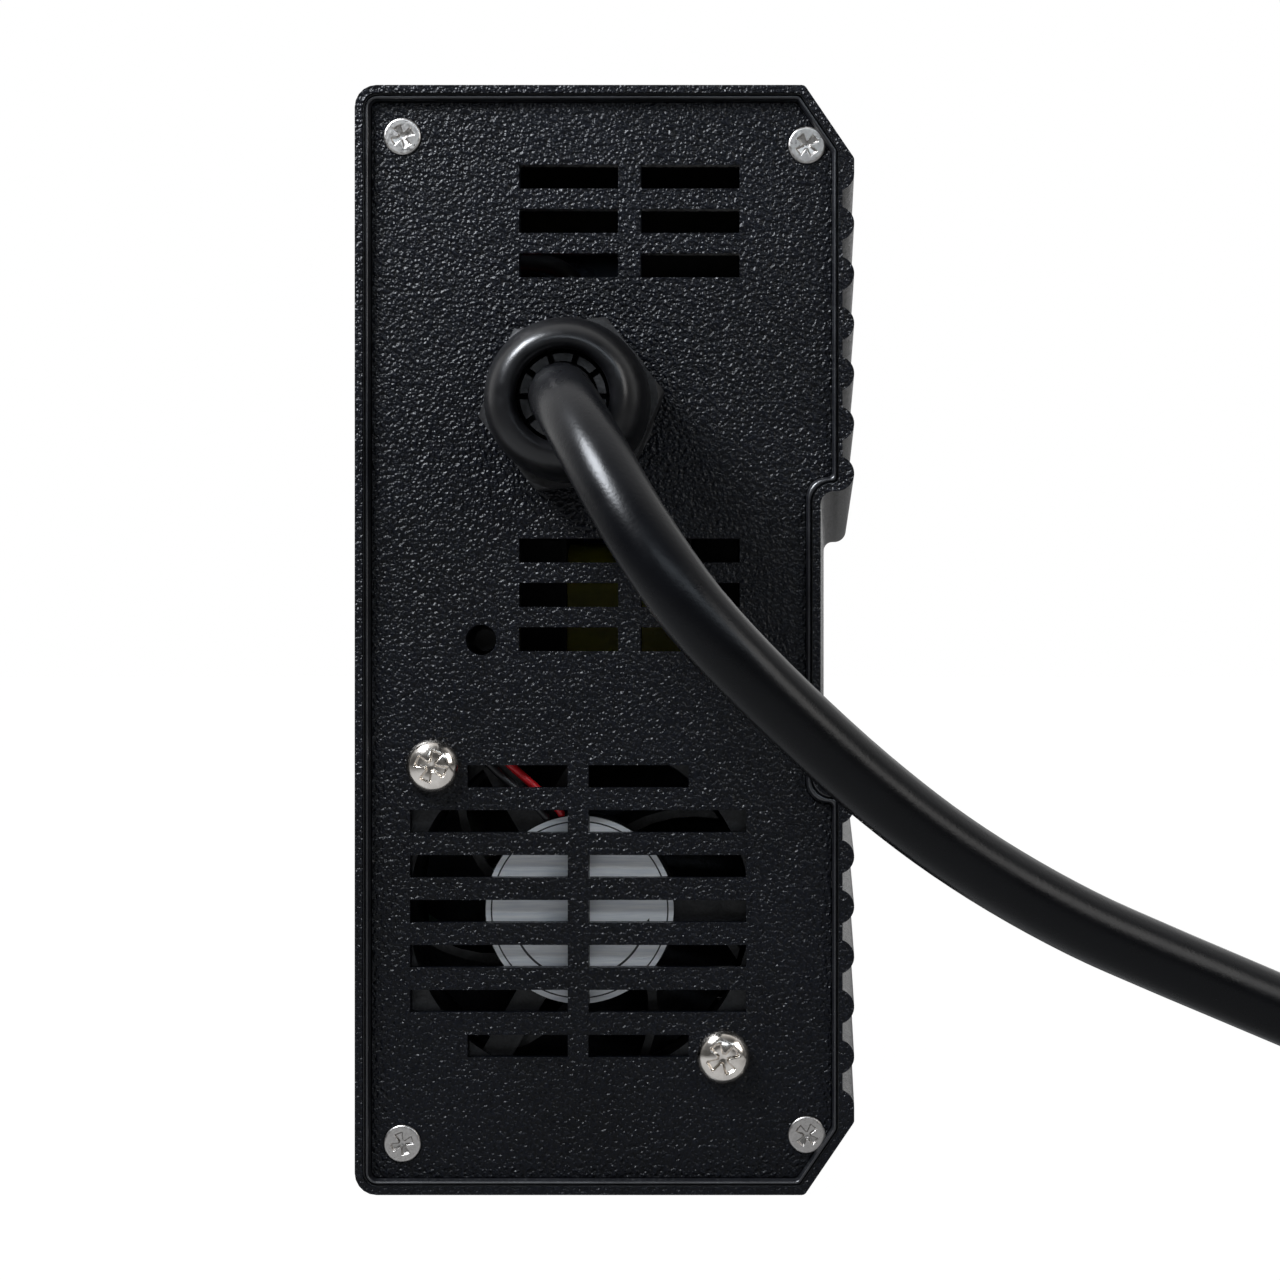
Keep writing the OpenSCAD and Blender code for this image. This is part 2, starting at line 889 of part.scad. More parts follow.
lead_end_y = front_back + 11;
out_route = [
  [-3.2, -144, 106.7], [-1.3, -152, 104], [1.9, -159.3, 98.9], [5.8, -165, 92.3],
  [9.9, -168.6, 85.9], [14.6, -170, 79.4], [20.6, -169.6, 72.7], [27.8, -167.4, 65.6],
  [35.2, -164.6, 58.9], [43.6, -161.6, 52.2], [52.4, -158.6, 46.3], [62.2, -155.8, 40.8],
  [71.5, -153.4, 36.5], [80.4, -151.4, 32.6], [91, -149.4, 28], [102, -147.7, 23.3],
  [114, -146.2, 18.5], [126, -145, 14], [138, -144, 10], [150, -143.4, 6.8]
];
coil_at = [164, -90.9];
tie_from = -58;
coil_foot = tie_t;
coil_out_r = coil_r + lead_r;
low_z = coil_foot + lead_r;
high_z = low_z + lead_r * sqrt(3);
lead_path = concat(
  [
    [-gland_in, lead_end_y, gland_at[1]],
    [-gland_in, front_y - washer_t - 4, gland_at[1]],
    [-gland_in, front_y - dome_end, gland_at[1]]
  ],
  out_route,
  [[coil_at[0], coil_at[1] - coil_out_r, low_z]]
);
module output_lead() {
  color("#1a1b1d")
    swept(lead_path, lead_r, 10);
}

function coil_section(g) =
  let (
    x0 = coil_r - 2 * lead_r - g,
    x1 = coil_r + 2 * lead_r + g,
    z0 = coil_foot - g,
    z1 = high_z + lead_r + g
  )
  rounded([
    [x0, z0, 3], [x1, z0, 3], [x1, low_z + lead_r, 2.5],
    [coil_r + lead_r + g, z1, 2.5], [coil_r - lead_r - g, z1, 2.5], [x0, low_z + lead_r, 2.5]
  ]);
module lead_coil() {
  color("#1a1b1d")
    translate([coil_at[0], coil_at[1], 0])
      rotate_extrude()
        polygon(coil_section(0));
}
module coil_tie() {
  color("#2b2c30")
    translate([coil_at[0], coil_at[1], 0])
      rotate(tie_from)
        rotate_extrude(angle = tie_angle)
          difference() {
            polygon(coil_section(tie_t));
            polygon(coil_section(0));
          }
}

plug_x = coil_at[0] + coil_r - 4;
plug_y = 4;
tail_path = [
  [coil_at[0] + coil_r, coil_at[1], high_z],
  [coil_at[0] + coil_r + 0.4, -80, high_z + 0.9],
  [coil_at[0] + coil_r + 0.2, -68, high_z + 1.2],
  [coil_at[0] + coil_r - 0.8, -56, high_z + 0.4],
  [coil_at[0] + coil_r - 2.4, -46, high_z - 1.4],
  [coil_at[0] + coil_r - 3.6, -36, high_z - 3.3],
  [plug_x, plug_y - boot_l - 6, plug_h / 2 + 0.1],
  [plug_x, plug_y - boot_l - 2, plug_h / 2],
  [plug_x, plug_y - boot_l / 2, plug_h / 2],
  [plug_x, plug_y, plug_h / 2]
];
module lead_tail() {
  color("#1a1b1d")
    swept(tail_path, lead_r, 10);
}

// Connector on the far end, with two poles side by side

pole_w = plug_w / 2 - 3;
pole_h = plug_h - 6;
pole_d = 17;
poles = [-1, 1] * (pole_w / 2 + 1);

module connector_housing() {
  color("#2a2b2e")
    difference() {
      translate([plug_x, plug_y, plug_h / 2])
        rotate([-90, 0, 0])
          linear_extrude(plug_l)
            polygon(rounded([
              for (c = [[-1, -1], [1, -1], [1, 1], [-1, 1]]) [c[0] * plug_w / 2, c[1] * plug_h / 2, 1.6]
            ]));
      for (x = poles)
        translate([plug_x + x - pole_w / 2, plug_y + plug_l - pole_d, (plug_h - pole_h) / 2])
          cube([pole_w, pole_d + cut, pole_h]);
      // Grip grooves on both sides
      for (side = [-1, 1], k = [0:3])
        translate([plug_x + side * plug_w / 2, plug_y + 5 + 3 * k, plug_h / 2])
          cube([1.2, 1.4, plug_h - 5], center = true);
      // A key along the top
      translate([plug_x - 1.5, plug_y + plug_l - 12, plug_h - 1])
        cube([3, 12 + cut, 2]);
    }
}
contact_t = 1.2;
module connector_contacts() {
  color("#c8b46a")
    for (x = poles)
      translate([plug_x + x - pole_w * 0.3, plug_y + plug_l - pole_d, (plug_h - contact_t) / 2])
        cube([pole_w * 0.6, pole_d - 3, contact_t]);
}
boot_wall = 3;
module connector_boot() {
  color("#202124")
    translate([plug_x, plug_y, plug_h / 2])
      rotate([90, 0, 0])
        difference() {
          cylinder(h = boot_l, r1 = lead_r + boot_wall, r2 = lead_r + 1.1);
          translate([0, 0, -cut])
            cylinder(h = boot_l + 2 * cut, r = lead_r + 0.02);
          for (k = [0:5])
            translate([0, 0, 4 + k * (boot_l - 6) / 6])
              difference() {
                cylinder(h = 1.4, r = lead_r + 4);
                translate([0, 0, -cut])
                  cylinder(h = 1.4 + 2 * cut, r = lead_r + 1);
              }
        }
}

// Circuit board on the base side

in_x = -hw + wall;
sheet_t = 0.4;
board_x0 = in_x + standoff_h;
board_x1 = board_x0 + board_t;
fan_room = 2.8;
inlet_room = 14;
board_y0 = front_back + fan_t + fan_room;
board_y1 = rear_back - inlet_room;
board_z0 = board_edge;
board_z1 = case_h - board_edge;
hole_in = [8, 5];
board_holes = [
  for (
    y = [board_y0 + hole_in[0], (board_y0 + board_y1) / 2, board_y1 - hole_in[0]],
    z = [board_z0 + hole_in[1], board_z1 - hole_in[1]]
  )
    [y, z]
];
standoff_r = 3;

// Moves a piece that is drawn upwards onto the board at the place [y, z]
module on_board(p, x = board_x1) {
  translate([x, p[0], p[1]])
    rotate([0, 90, 0])
      children();
}
// A block on the board: length along Y, width along Z and height off the board
module board_block(p, l, w, h, from = board_x1) {
  translate([from, p[0] - l / 2, p[1] - w / 2])
    cube([h, l, w]);
}

module circuit_board() {
  color("#1f4a2f")
    difference() {
      translate([board_x0, board_y0, board_z0])
        cube([board_t, board_y1 - board_y0, board_z1 - board_z0]);
      for (p = board_holes)
        on_board(p, board_x0 - cut)
          cylinder(h = board_t + 2 * cut, r = 1.6);
    }
}
module insulating_sheet() {
  color("#d8d2bd")
    difference() {
      translate([in_x, board_y0 - 1, board_z0 + 0.5])
        cube([sheet_t, board_y1 - board_y0 + 2, board_z1 - board_z0 - 1]);
      for (p = board_holes)
        on_board(p, in_x - cut)
          cylinder(h = sheet_t + 2 * cut, r = standoff_r + 0.2);
    }
}
module board_standoffs() {
  color("#b8a060")
    for (p = board_holes)
      on_board(p, in_x)
        difference() {
          cylinder(h = standoff_h, r = standoff_r);
          translate([0, 0, 1])
            cylinder(h = standoff_h, r = 1.25);
        }
}
module board_screws() {
  color("#b4b6b8")
    for (p = board_holes)
      on_board(p)
        pan_screw(2.7, 1.2, 1.8, board_t + standoff_h - 2);
}

// Power parts

transformer_in = 34;
front_part_y = board_y0 + transformer_in;
transformer_at = [front_part_y, mid];
winding_up = 16;
winding_x = board_x1 + winding_up;
core_t = 7;
core_l = 20;
middle_leg = 10;
bobbin_wall = 0.7;
leg_w = winding_l + 4;

module transformer_core() {
  color("#303236")
    difference() {
      board_block(transformer_at, core_l, leg_w + 12, winding_h + 2 * core_t, winding_x - core_t);
      for (side = [-1, 1])
        board_block(
          transformer_at + [0, side * (leg_w + middle_leg) / 4],
          core_l + 2 * cut, (leg_w - middle_leg) / 2, winding_h, winding_x
        );
    }
}
bobbin_y = core_l + 0.2 + 2 * bobbin_wall;
bobbin_z = middle_leg + 0.2 + 2 * bobbin_wall;
module transformer_winding() {
  color("#8f8a1a")
    translate([winding_x + 0.8, transformer_at[0], transformer_at[1]])
      rotate([0, 90, 0])
        linear_extrude(winding_h - 1.6)
          difference() {
            polygon(rounded([
              for (c = [[-1, -1], [1, -1], [1, 1], [-1, 1]])
                [c[0] * (winding_l / 2 - 0.5), c[1] * (winding_l / 2 + 1), 5]
            ]));
            square([bobbin_z, bobbin_y], center = true);
          }
}
module transformer_bobbin() {
  color("#1d1e20") {
    difference() {
      union() {
        for (x = [winding_x, winding_x + winding_h - 0.8])
          board_block(transformer_at, winding_l + 4, winding_l + 2, 0.8, x);
        board_block(transformer_at, bobbin_y, bobbin_z, winding_h, winding_x);
      }
      board_block(transformer_at, core_l + 0.2, middle_leg + 0.2, winding_h + 2 * cut, winding_x - cut);
    }
    difference() {
      board_block(transformer_at, winding_l + 4, leg_w + 12, winding_x - core_t - board_x1);
      board_block(transformer_at, winding_l - 4, leg_w + 4, winding_x, board_x1 - cut);
    }
    for (side = [-1, 1])
      translate([board_x1, transformer_at[0] + side * winding_l / 2, transformer_at[1] - winding_l / 2])
        cube([winding_x - board_x1 + 0.8, 2, winding_l]);
  }
}
bulk_from = 38;
bulk_gap = 2;
bulk_up = 22;
bulk_y = [for (k = [0:2]) front_part_y + bulk_from + k * (2 * bulk_r + bulk_gap)];
module mains_capacitors() {
  color("#2b3c63")
    for (y = bulk_y)
      on_board([y, mid + bulk_up])
        capacitor(bulk_r, bulk_h);
}
module capacitor(r, h) {
  rotate_extrude()
    polygon([
      [0, 0], [r - 0.6, 0], [r, 0.6], [r, 2.2], [r - 0.5, 2.9], [r, 3.6],
      [r, h - 0.8], [r - 0.8, h], [r - 1.6, h], [r - 1.9, h - 0.4], [0, h - 0.4]
    ]);
}
smooth_r = 6.4;
smooth_h = 26;
smooth_gap = 2.2;
smooth_in = [12, 14];
module output_capacitors() {
  color("#20242c")
    for (k = [0:2])
      on_board([board_y0 + smooth_in[0] + k * (2 * smooth_r + smooth_gap), board_z1 - smooth_in[1]])
        capacitor(smooth_r, smooth_h);
}
choke_from = 44;
choke_down = 16;
choke_at = [front_part_y + choke_from, mid - choke_down];
choke_in_r = 6.5;
choke_out_r = 11;
choke_l = 9;
choke_x = board_x1 + choke_out_r + 1.2;
module choke_core() {
  color("#3c4a3f") {
    translate([choke_x, choke_at[0], choke_at[1]])
      rotate([90, 0, 0])
        rotate_extrude()
          translate([choke_in_r, -choke_l / 2])
            square([choke_out_r - choke_in_r, choke_l]);
    board_block(choke_at, choke_l - 1, 8, 2.4);
  }
}
// Turns of enamelled wire around the ring, one node of separate solids
module choke_winding() {
  color("#b5652d")
    translate([choke_x, choke_at[0], choke_at[1]])
      rotate([90, 0, 0])
        for (a = [42:23:318])
          rotate(a + 180)
            translate([(choke_in_r + choke_out_r) / 2 - 0.04, 0, 0])
              rotate([90, 0, 0])
                linear_extrude(1.6, center = true)
                  difference() {
                    square([choke_out_r - choke_in_r + 3.4, choke_l + 3.4], center = true);
                    square([choke_out_r - choke_in_r + 0.2, choke_l + 0.1], center = true);
                  }
}
filter_in = 26;
filter_y = board_y1 - filter_in;
filter_up = 32;
filter_foot = [22, 18, 2];
filter_body = [16, 14, 20];
filter_top = [19, 17, 4];
module filter_choke() {
  at = [filter_y, mid + filter_up];
  color("#6a6c70") {
    board_block(at, filter_foot[0], filter_foot[1], filter_foot[2]);
    board_block(at, filter_body[0], filter_body[1], filter_body[2], board_x1 + filter_foot[2]);
    board_block(at, filter_top[0], filter_top[1], filter_top[2], board_x1 + filter_foot[2] + filter_body[2]);
  }
}
film_up = 8;
film_size = [26, 11, 19];
module filter_capacitor() {
  color("#b9a23a")
    board_block([filter_y, mid + film_up], film_size[0], film_size[1], film_size[2]);
}
fuse_l = 20;
fuse_r = 2.4;
fuse_up = 5;
fuse_down = 8;
clip_l = 4;
module fuse() {
  color("#cfd3d2") {
    translate([board_x1 + fuse_up, filter_y - fuse_l / 2, mid - fuse_down])
      rotate([-90, 0, 0])
        cylinder(h = fuse_l, r = fuse_r);
    for (side = [-1, 1])
      board_block(
        [filter_y + side * (fuse_l / 2 - 1.6), mid - fuse_down],
        clip_l, 2 * fuse_r + 1.6, fuse_up
      );
  }
}
sink_l = 72;
sink_from = 58;
sink_y = front_part_y + sink_from;
upper_sink_z = mid + 42;
lower_sink_z = mid - 40;
fin_n = 6;
fin_h = 5;
fin_t = 1.4;
module heatsink(z, side) {
  translate([board_x1, sink_y - sink_l / 2, z - sink_t / 2])
    cube([sink_h, sink_l, sink_t]);
  for (k = [0:fin_n - 1])
    translate([
      board_x1 + 3 + k * (sink_h - 5) / (fin_n - 1),
      sink_y - sink_l / 2,
      side > 0 ? z + sink_t / 2 : z - sink_t / 2 - fin_h
    ])
      cube([fin_t, sink_l, fin_h]);
}
module primary_heatsink() {
  color("#9fa3a7")
    heatsink(upper_sink_z, 1);
}
module secondary_heatsink() {
  color("#9fa3a7")
    heatsink(lower_sink_z, -1);
}
tab_l = 20;
tab_w = 13;
tab_t = 5;
tab_up = 8;
leg_pitch = 4.4;
leg_t = 1.2;
module transistors_along(z, side, count) {
  run = sink_l - tab_w - 8;
  for (k = [0:count - 1])
    translate([
      board_x1 + tab_up,
      sink_y - run / 2 + k * run / (count - 1) - tab_w / 2,
      side > 0 ? z - sink_t / 2 - tab_t : z + sink_t / 2
    ])
      difference() {
        union() {
          cube([tab_l, tab_w, tab_t]);
          for (j = [-1:1])
            translate([-tab_up, tab_w / 2 - leg_t / 2 + j * leg_pitch, tab_t * 0.4])
              cube([tab_up + 0.1, leg_t, 0.8]);
        }
        translate([tab_l - 5, tab_w / 2, -cut])
          cylinder(h = tab_t + 2 * cut, r = 1.7);
      }
}
module power_transistors() {
  color("#1a1a1c")
    transistors_along(upper_sink_z, 1, 4);
}
module rectifiers() {
  color("#1a1a1c")
    transistors_along(lower_sink_z, -1, 3);
}
lamp_y = front_back + 3.4;
lamp_l = 5.2;
lamp_r = 1.5;
lamp_leg = 0.5;
lamp_leg_y = board_y0 + 2.5;
module indicator_lamp() {
  color("#26302a") {
    translate([lamp_at[0], lamp_y, lamp_at[1]])
      rotate([-90, 0, 0]) {
        cylinder(h = lamp_l, r = lamp_r);
        translate([0, 0, lamp_l - 1])
          cylinder(h = 1, r = lamp_r + 0.4);
      }
    for (side = [-0.6, 0.6]) {
      translate([lamp_at[0] - lamp_leg / 2, lamp_y + lamp_l - 0.2, lamp_at[1] + side - lamp_leg / 2])
        cube([lamp_leg, lamp_leg_y + lamp_leg - lamp_y - lamp_l + 0.2, lamp_leg]);
      translate([board_x1, lamp_leg_y, lamp_at[1] + side - lamp_leg / 2])
        cube([lamp_at[0] - board_x1 + lamp_leg / 2, lamp_leg, lamp_leg]);
    }
  }
}

// Output wires from the end of the lead to the board

out_wire_r = 1.6;
red_rise = 17;
black_rise = 22.5;
function out_wire_path(side) =
  let (
    x = -gland_in,
    y = lead_end_y,
    z = gland_at[1],
    rise = side < 0 ? red_rise : black_rise
  )
  [
    [x + side * 1.75, y, z],
    [x + side * 1.75, y + 2, z],
    [x - 0.3 + side * 1.9, y + 4, z + 1.4],
    [x - 0.7 + side * 2, y + 5.4, z + 4.6],
    [x - 1.2 + side * 2, y + 6.2, z + rise * 0.55],
    [x - 3 + side * 2.3, y + 6.8, z + rise * 0.85],
    [x - 7 + side * 2.5, y + 7.6, z + rise],
    [x - 13, y + 8.6, z + rise],
    [board_x1 + 4, board_y0 + 2.6, z + rise],
    [board_x1, board_y0 + 2.6, z + rise]
  ];
module output_wire_red() {
  color("#a8161d")
    swept(out_wire_path(-1), out_wire_r);
}
module output_wire_black() {
  color("#242426")
    swept(out_wire_path(1), out_wire_r);
}

// Mains inlet

flange_t = panel_in;
inlet_back = 2.4;
inlet_depth = socket_d + inlet_back;
tab_out = 8;
blade_at = [[-7, -2], [0, 2], [7, -2]];

module socket_outline(w, h) {
  polygon([
    [-w / 2, -h / 2], [w / 2, -h / 2], [w / 2, h / 2 - 4], [w / 2 - 4, h / 2], [-w / 2 + 4, h / 2], [-w / 2, h / 2 - 4]
  ]);
}
module mains_inlet() {
  color("#1a1b1e")
    difference() {
      union() {
        along_y(rear_y, rear_y + flange_t)
          translate(inlet_at)
            polygon(rounded([
              for (c = [[-1, -1], [1, -1], [1, 1], [-1, 1]])
                [c[0] * inlet_flange_w / 2, c[1] * inlet_flange_h / 2, 4]
            ]));
        along_y(rear_y + flange_t - inlet_depth, rear_y + 0.1)
          translate(inlet_at)
            square([inlet_w, inlet_h], center = true);
      }
      along_y(rear_y + flange_t - socket_d, hl + cut)
        translate(inlet_at)
          socket_outline(socket_w, socket_h);
      for (p = blade_at)
        translate([inlet_at[0] + p[0], rear_y + flange_t - inlet_depth - cut, inlet_at[1] + p[1]])
          translate([-1, 0, -2])
            cube([2, inlet_depth, 4]);
      for (side = [-1, 1])
        out_of_rear([inlet_at[0] + side * inlet_pitch / 2, inlet_at[1]], rear_y + flange_t) {
          translate([0, 0, -head_h + 0.01])
            cylinder(h = head_h, r1 = end_shank_r + clearance, r2 = end_head_r + clearance);
          translate([0, 0, -flange_t - cut])
            cylinder(h = flange_t + cut, r = end_shank_r + 0.2);
        }
    }
}
module inlet_pins() {
  color("#c0c2c4")
    for (p = blade_at)
      translate([inlet_at[0] + p[0] - 1, rear_y + flange_t - inlet_depth - tab_out, inlet_at[1] + p[1] - 2])
        cube([2, inlet_depth + tab_out - 3, 4]);
}
module inlet_screws() {
  color("#a9a9ab")
    for (side = [-1, 1])
      out_of_rear([inlet_at[0] + side * inlet_pitch / 2, inlet_at[1]], rear_y + flange_t)
        countersunk_screw(flange_t + panel_t + 4);
}
nut_t = 2.4;
nut_r = 3.2;
module inlet_nuts() {
  color("#a9a9ab")
    for (side = [-1, 1])
      out_of_rear([inlet_at[0] + side * inlet_pitch / 2, inlet_at[1]], rear_back)
        translate([0, 0, -nut_t])
          difference() {
            cylinder(h = nut_t, r = nut_r, $fn = 6);
            translate([0, 0, -cut])
              cylinder(h = nut_t + 2 * cut, r = end_shank_r + clearance);
          }
}
blade_end_y = rear_y + flange_t - inlet_depth - tab_out;
function inlet_wire_path(p, z) =
  [
    [inlet_at[0] + p[0], blade_end_y, inlet_at[1] + p[1]],
    [inlet_at[0] + p[0], blade_end_y - 2, inlet_at[1] + p[1]],
    [inlet_at[0] + p[0], blade_end_y - 4, inlet_at[1] + p[1] + 0.5],
    [inlet_at[0] + p[0] - 3, blade_end_y - 6, inlet_at[1] + p[1] + (z - inlet_at[1] - p[1]) * 0.35],
    [inlet_at[0] + p[0] - 8, blade_end_y - 8, inlet_at[1] + p[1] + (z - inlet_at[1] - p[1]) * 0.8],
    [board_x1 + 4, blade_end_y - 9, z],
    [board_x1, blade_end_y - 9, z]
  ];
module live_wire() {
  color("#7a4a25")
    swept(inlet_wire_path(blade_at[0], inlet_up + 14), 1.1);
}
module earth_wire() {
  color("#7fa03a")
    swept(inlet_wire_path(blade_at[1], inlet_up - 12), 1.1);
}
module neutral_wire() {
  color("#2f66a8")
    swept(inlet_wire_path(blade_at[2], inlet_up + 22), 1.1);
}

case_shell();
front_trim();
rear_trim();
front_panel();
rear_panel();
front_panel_screws();
rear_panel_screws();
fan_screws();
fan_frame();
fan_impeller();
fan_magnet_ring();
fan_shaft();
fan_bearing();
fan_stator();
fan_coils();
fan_label();
fan_wire_red();
fan_wire_black();
gland_washer();
gland_body();
gland_seal();
gland_dome_nut();
gland_lock_nut();
output_lead();
lead_coil();
lead_tail();
coil_tie();
connector_housing();
connector_contacts();
connector_boot();
output_wire_red();
output_wire_black();
circuit_board();
insulating_sheet();
board_standoffs();
board_screws();
transformer_core();
transformer_winding();
transformer_bobbin();
mains_capacitors();
output_capacitors();
choke_core();
choke_winding();
filter_choke();
filter_capacitor();
fuse();
primary_heatsink();
secondary_heatsink();
power_transistors();
rectifiers();
indicator_lamp();
mains_inlet();
inlet_pins();
inlet_screws();
inlet_nuts();
live_wire();
neutral_wire();
earth_wire();
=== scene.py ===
"""Gives the charger its finishes, its output lead and its stage."""

import json
import math

import bmesh
import bpy
from bpy.props import FloatProperty, FloatVectorProperty, IntProperty, PointerProperty
from bpy.types import Operator, Panel, PropertyGroup
from mathutils import Matrix, Vector


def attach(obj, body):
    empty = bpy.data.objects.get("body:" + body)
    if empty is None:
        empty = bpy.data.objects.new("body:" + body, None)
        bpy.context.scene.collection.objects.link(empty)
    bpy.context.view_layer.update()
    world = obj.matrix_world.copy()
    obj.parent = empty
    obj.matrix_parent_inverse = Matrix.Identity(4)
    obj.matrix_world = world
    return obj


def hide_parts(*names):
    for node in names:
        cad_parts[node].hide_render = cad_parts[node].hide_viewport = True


bl_info = {
    "name": "Lithium battery charger",
    "version": (1, 0, 0),
    "blender": (4, 5, 0),
    "location": "View3D > Sidebar > Charger",
    "description": "Finishes, output lead and stage of a lithium battery charger",
    "category": "Object",
}

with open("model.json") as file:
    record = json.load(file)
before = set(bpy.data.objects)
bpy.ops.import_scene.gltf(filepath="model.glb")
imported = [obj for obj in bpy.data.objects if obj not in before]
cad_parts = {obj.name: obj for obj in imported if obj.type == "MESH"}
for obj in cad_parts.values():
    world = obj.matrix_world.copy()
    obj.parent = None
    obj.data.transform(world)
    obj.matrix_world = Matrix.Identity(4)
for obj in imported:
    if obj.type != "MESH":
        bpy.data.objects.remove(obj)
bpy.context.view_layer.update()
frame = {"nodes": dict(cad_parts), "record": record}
NODES = frame["nodes"]
SLOT_OF = {part["node"]: part["material_slot"] for part in frame["record"]["subparts"]}
MM = 0.001

# Planes and places of the case, in millimetres
FRONT_Y = -113.2
REAR_Y = 113.2
RIM_Y = 115.0
PANEL_BACK_Y = -110.7
END_SCREWS = ((-27.9, 6.8), (27.7, 8.0), (27.7, 144.0), (-27.9, 145.2))
FAN_SCREWS = ((-23.75, 58.7), (16.25, 18.7))
INLET_SCREWS = ((-21.0, 32.0), (19.0, 32.0))
FAN_CENTRE = (-3.75, 38.7)
GLAND_CENTRE = (-4.3, 108.1)

# The case's section, in millimetres
CASE_H = 152.0
HALF_W = 34.2
MIDDLE_Z = 76.0
RIB_FOOT_X = 32.6
RECESS_X = 29.6
HALF_RECESS = 20.4
CHAMFER = (6.8, 10.0)
CORNER_ROUND = 3.0
LEAST_ROUND = 0.9
RECESS_FILLET = 1.8
RECESS_STRAIGHT = 0.7
CHAMFER_ROUNDS = (0.8, 1.0)
SHOULDER_ROUND = 0.6

# The space inside the walls, where the case is matt and darkened with painted shade, and how dark that
# painted shade is
INSIDE_X = (-33.2, RECESS_X - 0.7)
INSIDE_Z = (1.5, CASE_H - 1.5)
INSIDE_PAINTED_SHADE = 0.3

# The trim: its gap to the section's plain and ribbed sides, its width, and the room around a screw
TRIM_OUTSIDE = (1.05, 0.5)
TRIM_WIDTH = 0.95
HEAD_ROOM = 2.75

# The trim's profile: share of its width, and depth below the rim in millimetres
GROOVE = ((0.0, 2.9), (0.0, 0.75), (0.06, 0.8), (0.14, 0.8), (0.2, 0.62))
BEAD_MIDDLE = (0.53, 0.86)
BEAD_REACH = (0.3, 0.42)
BEAD_STEPS = 10
LIP = ((0.86, 1.1), (0.9, 1.3), (0.98, 1.42), (1.0, 1.5), (1.0, 2.9))

# The dome nut's profile: radius and height over the panel, in millimetres
NUT_FOOT = ((8.75, 6.6), (10.4, 6.6), (10.9, 7.1))
DOME_MIDDLE = (7.4, 13.2)
DOME_REACH = (3.5, 7.4)
DOME_STEPS = 24
MOUTH_MIDDLE = (7.4, 19.4)
MOUTH_ROUND = 1.2
MOUTH_STEPS = 12
NUT_BORE = ((6.2, 18.8), (8.75, 13.6))
NUT_SIDES = 144

# Screws, in millimetres: radius, crown, flat share and rim of a head, arm and depth of a cross
FLAT_HEAD = (2.57, 0.28, 0.86, 0.05)
PAN_HEAD = (3.7, 2.2, 0.05, 0.3)
SMALL_CROSS = (1.6, 0.6)
LARGE_CROSS = (2.25, 0.9)

# Print on the fan's hub: millimetres, and degrees
PRINT_GAP = 0.24
RING_RADII = (12.1, 12.3)
ARC_RADII = (9.3, 9.6)
ARC_SPAN = (200, 338)
ARROW_AT = (9.45, 340)
ARROW_SIZE = (2.2, 0.9)

# The output lead's route from the gland to its coil, in metres
LEAD_START = (-0.0043, -0.1070, 0.1081)
LEAD_MOUTH = (-0.0043, -0.1338, 0.1081)
LEAD_ROUTE = (
    LEAD_START,
    (-0.0043, -0.1184, 0.1081),
    LEAD_MOUTH,
    (-0.0032, -0.1440, 0.1067),
    (-0.0013, -0.1520, 0.1040),
    (0.0019, -0.1593, 0.0989),
    (0.0058, -0.1650, 0.0923),
    (0.0099, -0.1686, 0.0859),
    (0.0146, -0.1700, 0.0794),
    (0.0206, -0.1696, 0.0727),
    (0.0278, -0.1674, 0.0656),
    (0.0352, -0.1646, 0.0589),
    (0.0436, -0.1616, 0.0522),
    (0.0524, -0.1586, 0.0463),
    (0.0622, -0.1558, 0.0408),
    (0.0715, -0.1534, 0.0365),
    (0.0804, -0.1514, 0.0326),
    (0.0910, -0.1494, 0.0280),
    (0.1020, -0.1477, 0.0233),
    (0.1140, -0.1462, 0.0185),
    (0.1260, -0.1450, 0.0140),
    (0.1380, -0.1440, 0.0100),
    (0.1500, -0.1434, 0.0068),
)
LEAD_TAIL = (
    (0.2124, -0.0800, 0.01345),
    (0.2122, -0.0680, 0.01375),
    (0.2112, -0.0560, 0.01295),
    (0.2096, -0.0460, 0.01115),
    (0.2084, -0.0360, 0.00925),
    (0.2080, -0.0300, 0.00810),
    (0.2080, -0.0260, 0.00800),
    (0.2080, -0.0100, 0.00800),
    (0.2080, 0.0040, 0.00800),
)
COIL_CENTRE = (0.164, -0.0909)
COIL_LOW = 0.0051
LEAD_INNER_Y = -0.0997
LEAD_STEP = 0.003
LANE_GAP = 0.0001

# The coil's turn in degrees, with the start and the length of each move of the lead to another lane
COIL_END = 810
COIL_STEP = 15
MOVES_IN = (240, 120)
CLIMBS = (570, 60)
MOVES_OUT = (615, 105)
SETTLES = (660, 60)

# The strap around the coil: its stretch and its arc around each lane in degrees, its sizes in metres
TIE_FROM = -58
TIE_SPAN = 13
TIE_STEPS = 10
TIE_ARCS = ((150, 270), (270, 390), (30, 150))
TIE_ARC_STEPS = 8
TIE_INSIDE = 0.00005
TIE_OUTSIDE = 0.0007
TIE_EDGE = 0.00018

# Shares of an arm of a cross recess: half width, its flare, round middle, sloping wall and floor
CROSS_ROOT = 0.15
CROSS_FLARE = 0.27
CROSS_MIDDLE = 0.38
CROSS_WALL = 0.14
CROSS_SLOPE = 0.45

# Mesh of a screw's head, and how the rings of a domed one crowd to its rim
HEAD_RINGS = 48
HEAD_STEPS = 128
DOMED_SPREAD = 0.92

# The white that reflections see: its share in front, its rise upwards and backwards, its fade
FRONT_GLOW = 0.1
WHITE_UP = 0.35
WHITE_BACK = 0.7
WHITE_FADE = (-0.1, 0.5)

